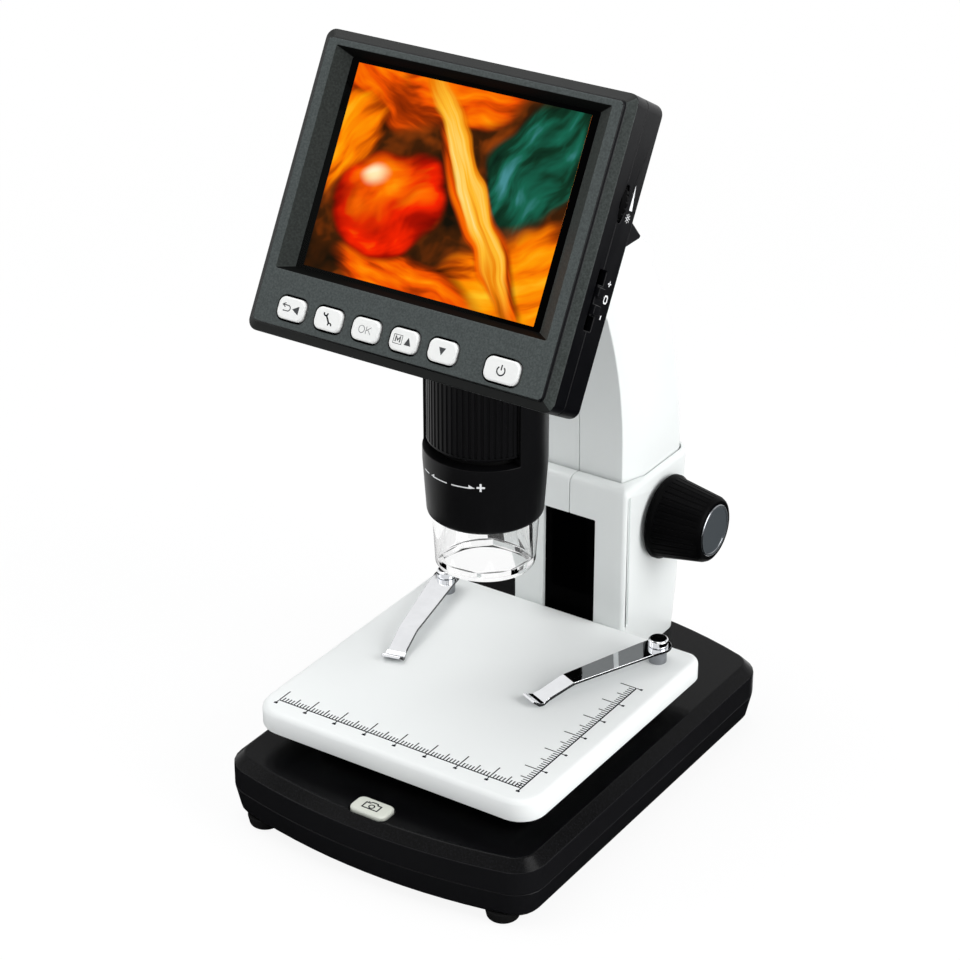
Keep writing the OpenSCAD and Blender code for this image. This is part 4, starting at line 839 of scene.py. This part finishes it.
# %% Colours of the picture
shadow_brown = [(0.35, (0.008, 0.006, 0.003)), (0.5, (0.05, 0.014, 0.003)), (0.7, (0.36, 0.06, 0.004))]
orange = [(0.20, (0.04, 0.005, 0.001)), (0.36, (0.36, 0.032, 0.001)), (0.47, (0.86, 0.085, 0.001)),
          (0.60, (1.0, 0.19, 0.001)), (0.78, (1.0, 0.42, 0.006))]
yellow = [(0.20, (0.06, 0.010, 0.001)), (0.35, (0.50, 0.07, 0.001)), (0.45, (0.96, 0.19, 0.001)),
          (0.58, (1.0, 0.33, 0.002)), (0.78, (1.0, 0.56, 0.02))]
cream = [(0.15, (0.22, 0.04, 0.001)), (0.34, (0.86, 0.24, 0.004)), (0.50, (1.0, 0.50, 0.03)),
         (0.62, (1.0, 0.66, 0.14)), (0.78, (1.0, 0.90, 0.55))]
red = [(0.12, (0.05, 0.002, 0.001)), (0.30, (0.42, 0.006, 0.001)), (0.46, (0.92, 0.018, 0.001)),
       (0.60, (1.0, 0.14, 0.001)), (0.80, (1.0, 0.34, 0.01))]
green = [(0.2, (0.003, 0.006, 0.004)), (0.40, (0.006, 0.040, 0.020)), (0.56, (0.010, 0.125, 0.075)),
         (0.76, (0.06, 0.26, 0.28))]
highlight = [(0.2, (1.0, 0.66, 0.16)), (0.6, (1.0, 0.93, 0.62))]
print("orange runs through", len(orange), "shades")

# %% [markdown]
# ## The forms of the picture
# Each row is one form, from the lowest to the topmost: its middle, half its length and width, its
# turn in degrees, how soft its edge is, its colours, its fibres' fineness along and across, and how
# much it darkens toward the edge. The picture is 1 high and 1.3 wide in these units.

# %% Forms of the picture
FORMS = [
    ((0.10, 0.98), (0.40, 0.17), -24, 0.16, orange, (1.6, 7.0), 0.2),
    ((1.16, 0.16), (0.46, 0.24), 24, 0.15, yellow, (1.6, 7.0), 0.2),
    ((0.60, 0.99), (0.33, 0.17), 8, 0.16, orange, (1.6, 7.0), 0.2),
    ((1.10, 0.71), (0.35, 0.23), 62, 0.14, green, (2.4, 7.0), 0.25),
    ((0.03, 0.62), (0.27, 0.17), 62, 0.16, yellow, (1.6, 7.0), 0.2),
    ((0.56, 0.02), (0.42, 0.15), -10, 0.16, orange, (1.6, 7.0), 0.2),
    ((0.86, 0.40), (0.52, 0.10), -50, 0.2, orange, (1.0, 12.0), 0.2),
    ((0.76, 0.58), (0.62, 0.085), -56, 0.2, cream, (0.8, 12.0), 0.2),
    ((0.36, 0.38), (0.30, 0.25), 24, 0.10, red, (1.8, 4.0), 0.34),
    ((0.30, 0.45), (0.17, 0.12), 35, 0.7, orange, (2.0, 4.0), 0.1),
    ((0.27, 0.49), (0.050, 0.038), 20, 0.8, highlight, (1.6, 7.0), 0.0)]


def petal(tree, below, plane, at, size, turn, edge, stops, fibres, shade):
    """Lay one soft form over the picture so far."""
    local = add(tree, "Mapping", {"Vector": plane, "Location": (*at, 0), "Scale": (*size, 1),
                                  "Rotation": (0, 0, math.radians(turn))},
                vector_type="TEXTURE").outputs["Vector"]
    far = add(tree, "VectorMath", {0: local}, operation="LENGTH").outputs["Value"]
    stretch = (fibres[0] * size[0], fibres[1] * size[1], 1)
    strands = add(tree, "Mapping", {"Vector": local, "Location": (at[0] * 7, at[1] * 5, 0),
                                    "Scale": stretch}).outputs["Vector"]
    fibre = add(tree, "TexNoise", {"Vector": strands, "Scale": 1.6, "Detail": 3.0, "Roughness": 0.5,
                                   "Distortion": 0.15}).outputs["Fac"]
    gloom = math_node(tree, "MULTIPLY", math_node(tree, "POWER", far, 3.0), shade)
    light = math_node(tree, "SUBTRACT", math_node(tree, "ADD", fibre, 0.05), gloom)
    inside = soft_step(tree, far, 1 + edge, 1 - edge)
    return add(tree, "Mix", {0: inside, 6: below, 7: ramp(tree, light, stops)}, data_type="RGBA").outputs[2]


print("forms:", len(FORMS))

# %% [markdown]
# ## The picture's material
# The forms lie on a mottled brown ground. Before anything is drawn, coarse noise moves every point
# a little, so that no form stays a true ellipse. The last node is a plain emission, because a
# backlit panel looks the same in any light.

# %% Material of the picture
PICTURE_W, PICTURE_H = 70.5, 54.1
BEND = 0.26


def screen_picture():
    material = bpy.data.materials.new("screen_picture")
    material.use_nodes = True
    tree = material.node_tree
    tree.nodes.clear()
    where = add(tree, "TexCoord").outputs["UV"]
    wide = PICTURE_W / PICTURE_H
    plane = add(tree, "Mapping", {"Vector": where, "Scale": (wide, 1, 0)}).outputs["Vector"]
    swirl = add(tree, "TexNoise", {"Vector": plane, "Scale": 2.2, "Detail": 2.0}).outputs["Color"]
    bend = add(tree, "VectorMath", {0: swirl, 1: (0.5, 0.5, 0.5)}, operation="SUBTRACT").outputs[0]
    bend = add(tree, "VectorMath", {0: bend, "Scale": BEND}, operation="SCALE").outputs[0]
    bent = add(tree, "VectorMath", {0: plane, 1: bend}, operation="ADD").outputs[0]
    bent = add(tree, "VectorMath", {0: bent, 1: (1, 1, 0)}, operation="MULTIPLY").outputs[0]
    mottle = add(tree, "TexNoise", {"Vector": bent, "Scale": 4.0, "Detail": 3.0}).outputs["Fac"]
    colour = ramp(tree, mottle, shadow_brown)
    for form in FORMS:
        colour = petal(tree, colour, bent, *form)
    glow = add(tree, "Emission", {"Color": colour, "Strength": 1.0})
    out = add(tree, "OutputMaterial", {"Surface": glow.outputs[0]})
    print("picture:", len(tree.nodes), "nodes into", out.name)
    return material


glowing_picture = screen_picture()

# %% [markdown]
# ## The lit sheet
# The picture sits on a sheet a hair above the black panel. A single flat face would glow as well,
# but a thin closed solid is also a sound mesh when the model is exported. Only its front face gets
# picture coordinates from 0 to 1.

# %% The lit sheet
SHEET_FRONT, SHEET_BACK = 0.02, -0.04
half_w, half_h = PICTURE_W / 2, PICTURE_H / 2
corners = [(-half_w, -half_h), (half_w, -half_h), (half_w, half_h), (-half_w, half_h)]
mesh = bpy.data.meshes.new("lit_picture")
mesh.from_pydata([on_screen(u, v, n) for n in (SHEET_FRONT, SHEET_BACK) for u, v in corners], [],
                 [(0, 1, 2, 3), (7, 6, 5, 4), (0, 4, 5, 1), (1, 5, 6, 2), (2, 6, 7, 3), (3, 7, 4, 0)])
layer = mesh.uv_layers.new(name="picture")
for loop, uv in zip(range(4), ((0, 0), (1, 0), (1, 1), (0, 1))):
    layer.data[loop].uv = uv
sheet = object_from("lit_picture", mesh, glowing_picture)
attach(sheet, "screen")
print("sheet:", PICTURE_W, "by", PICTURE_H, "mm")

# %% [markdown]
# ## The studio
# The floor is white card. To a camera, a mirror or a clear piece it glows pure white, apart from a
# share near the machine that keeps the soft shadow. To everything else it is plain white card, so
# it adds no light of its own. The world around is handled in the same way: plain white when seen,
# a faint cool fill light otherwise.

# %% White card
SHADOW_SHARE, SHADOW_FROM, SHADOW_TO = 0.10, 0.22, 0.60


def seen_directly(tree):
    """1 for the camera, for mirrors and for what is seen through clear pieces."""
    path = add(tree, "LightPath")
    total = math_node(tree, "ADD", path.outputs["Is Camera Ray"], path.outputs["Is Glossy Ray"])
    return math_node(tree, "ADD", total, path.outputs["Is Transmission Ray"], clamp=True)


def white_card():
    material, tree, shader = start_material("white_card", {"Roughness": 0.9, "Specular IOR Level": 0.0})
    direct = seen_directly(tree)
    wire(tree, shader, {"Base Color": ramp(tree, direct, [(0.0, 0.9), (1.0, 1.0)])})
    glow = add(tree, "Emission", {"Color": (1, 1, 1, 1), "Strength": 1.0})
    far = add(tree, "VectorMath", {0: add(tree, "NewGeometry").outputs["Position"]},
              operation="LENGTH").outputs["Value"]
    rise = math_node(tree, "MULTIPLY", soft_step(tree, far, SHADOW_FROM, SHADOW_TO), SHADOW_SHARE)
    share = math_node(tree, "MULTIPLY", direct, math_node(tree, "ADD", rise, 1 - SHADOW_SHARE))
    card = add(tree, "MixShader", {0: share, 1: shader.outputs[0], 2: glow.outputs[0]})
    wire(tree, tree.nodes["Material Output"], {"Surface": card.outputs[0]})
    return material


card_white = white_card()
print("the shadow fades out between", SHADOW_FROM, "and", SHADOW_TO, "metres from the machine")

# %% Floor and world
FILL_LIGHT = 0.36
bpy.ops.mesh.primitive_plane_add(size=6, location=(0, 0, 0))
floor = bpy.context.object
floor.name = "studio_floor"
floor.data.materials.append(card_white)

world = bpy.data.worlds.new("studio_world")
scene.world = world
world.use_nodes = True
sky = world.node_tree
fill, plain = sky.nodes["Background"], add(sky, "Background", {"Color": (1, 1, 1, 1), "Strength": 1.0})
wire(sky, fill, {"Color": (0.96, 0.98, 1.0, 1), "Strength": FILL_LIGHT})
both = add(sky, "MixShader", {0: seen_directly(sky), 1: fill.outputs[0], 2: plain.outputs[0]})
wire(sky, sky.nodes["World Output"], {"Surface": both.outputs[0]})
print("floor:", [round(side, 2) for side in floor.dimensions], "fill light:", FILL_LIGHT)

# %% [markdown]
# ## Soft boxes
# Large lamps make soft shadows. One hangs above and to the left, a strong one stands on the right,
# and a weak one on the front left keeps the near faces from going grey.

# %% Soft boxes
MIDDLE = Vector((0, 0, 0.1))
for name, place, width, height, power in (("soft_box_top", (-0.25, -0.15, 1.1), 0.9, 0.9, 7.4),
                                          ("soft_box_right", (1.0, 0.05, 0.55), 0.7, 0.9, 9.6),
                                          ("soft_box_left", (-0.9, -0.7, 0.5), 0.7, 0.9, 1.8)):
    lamp = bpy.data.lights.new(name, "AREA")
    lamp.shape, lamp.size, lamp.size_y, lamp.energy = "RECTANGLE", width, height, power
    box = bpy.data.objects.new(name, lamp)
    box.location = place
    box.rotation_euler = (MIDDLE - Vector(place)).to_track_quat("-Z", "Y").to_euler()
    scene.collection.objects.link(box)
    print(name, power, "watts")

# %% [markdown]
# ## Black flags
# Chrome and clear plastic only look like themselves when they have something dark to mirror. In a
# studio, black cards called flags stand just out of view. These flags show in reflections, the
# three standing ones also through clear pieces, and none of them shades the object or blocks its
# light. Two large ones lie on the floor and keep the flat black sides deep. Three small ones stand
# before the post and are mirrored in the right clip: they are a painted reflection of the post's
# shaded front, two of them grey cards that glow faintly and one black.

# %% How a flag is made
flag_black = start_material("flag_black", {
    "Base Color": (0.002, 0.002, 0.002, 1), "Roughness": 0.9, "Specular IOR Level": 0.0})[0]
# Painted reflection: a faint grey glow, seen only in mirrors, that stands in for the post's shaded front.
painted_reflection_grey = start_material("painted_reflection_grey", {
    "Base Color": (0, 0, 0, 1), "Specular IOR Level": 0.0, "Emission Color": (0.21, 0.22, 0.22, 1),
    "Emission Strength": 1.0})[0]


def flag(name, middle, facing, width, height, material=flag_black, through=False):
    """A card that only reflections see; `through` also shows it behind clear pieces."""
    bpy.ops.mesh.primitive_plane_add(size=1, location=middle)
    card = bpy.context.object
    card.name = name
    card.scale = (width, height, 1)
    card.rotation_euler = (Vector(facing) - Vector(middle)).to_track_quat("Z", "Y").to_euler()
    card.data.materials.append(material)
    card.visible_camera = card.visible_diffuse = card.visible_shadow = False
    card.visible_transmission = through
    print(name, round(width, 4), "by", height, "metres")


print("flag materials:", flag_black.name, painted_reflection_grey.name)

# %% Flags
LEFT_CLIP, BODY = (-0.042, -0.027, 0.04), (0.0, 0.0, 0.08)
POST_Y, POST_Z = 32.4, 61
flag("flag_behind", (-0.355, 0.448, 0.215), LEFT_CLIP, 0.20, 0.24, through=True)
flag("flag_left", (-0.42, -0.34, 0.20), BODY, 0.05, 0.5, through=True)
flag("flag_right", (0.36, 0.30, 0.20), BODY, 0.05, 0.5, through=True)
flag("flag_floor_front", (0.185, -0.115, 0.0006), (0.185, -0.115, 1.0), 0.63, 0.37)
flag("flag_floor_right", (0.275, 0.27, 0.0006), (0.275, 0.27, 1.0), 0.45, 0.40)
# Painted reflection: three cards just before the post, seen only in the right clip, in place of the post's
# shaded front.
for name, x, width, material in (("flag_post_right", 21.6, 8.6, painted_reflection_grey),
                                 ("flag_post_middle", 9.9, 11.4, painted_reflection_grey),
                                 ("flag_post_left", -2.0, 12.0, flag_black)):
    middle = Vector((x, POST_Y, POST_Z)) * MM
    flag(name, middle, middle - Vector((0, 1, 0)), width * MM, 0.042, material)
scene.view_settings.view_transform = "Standard"
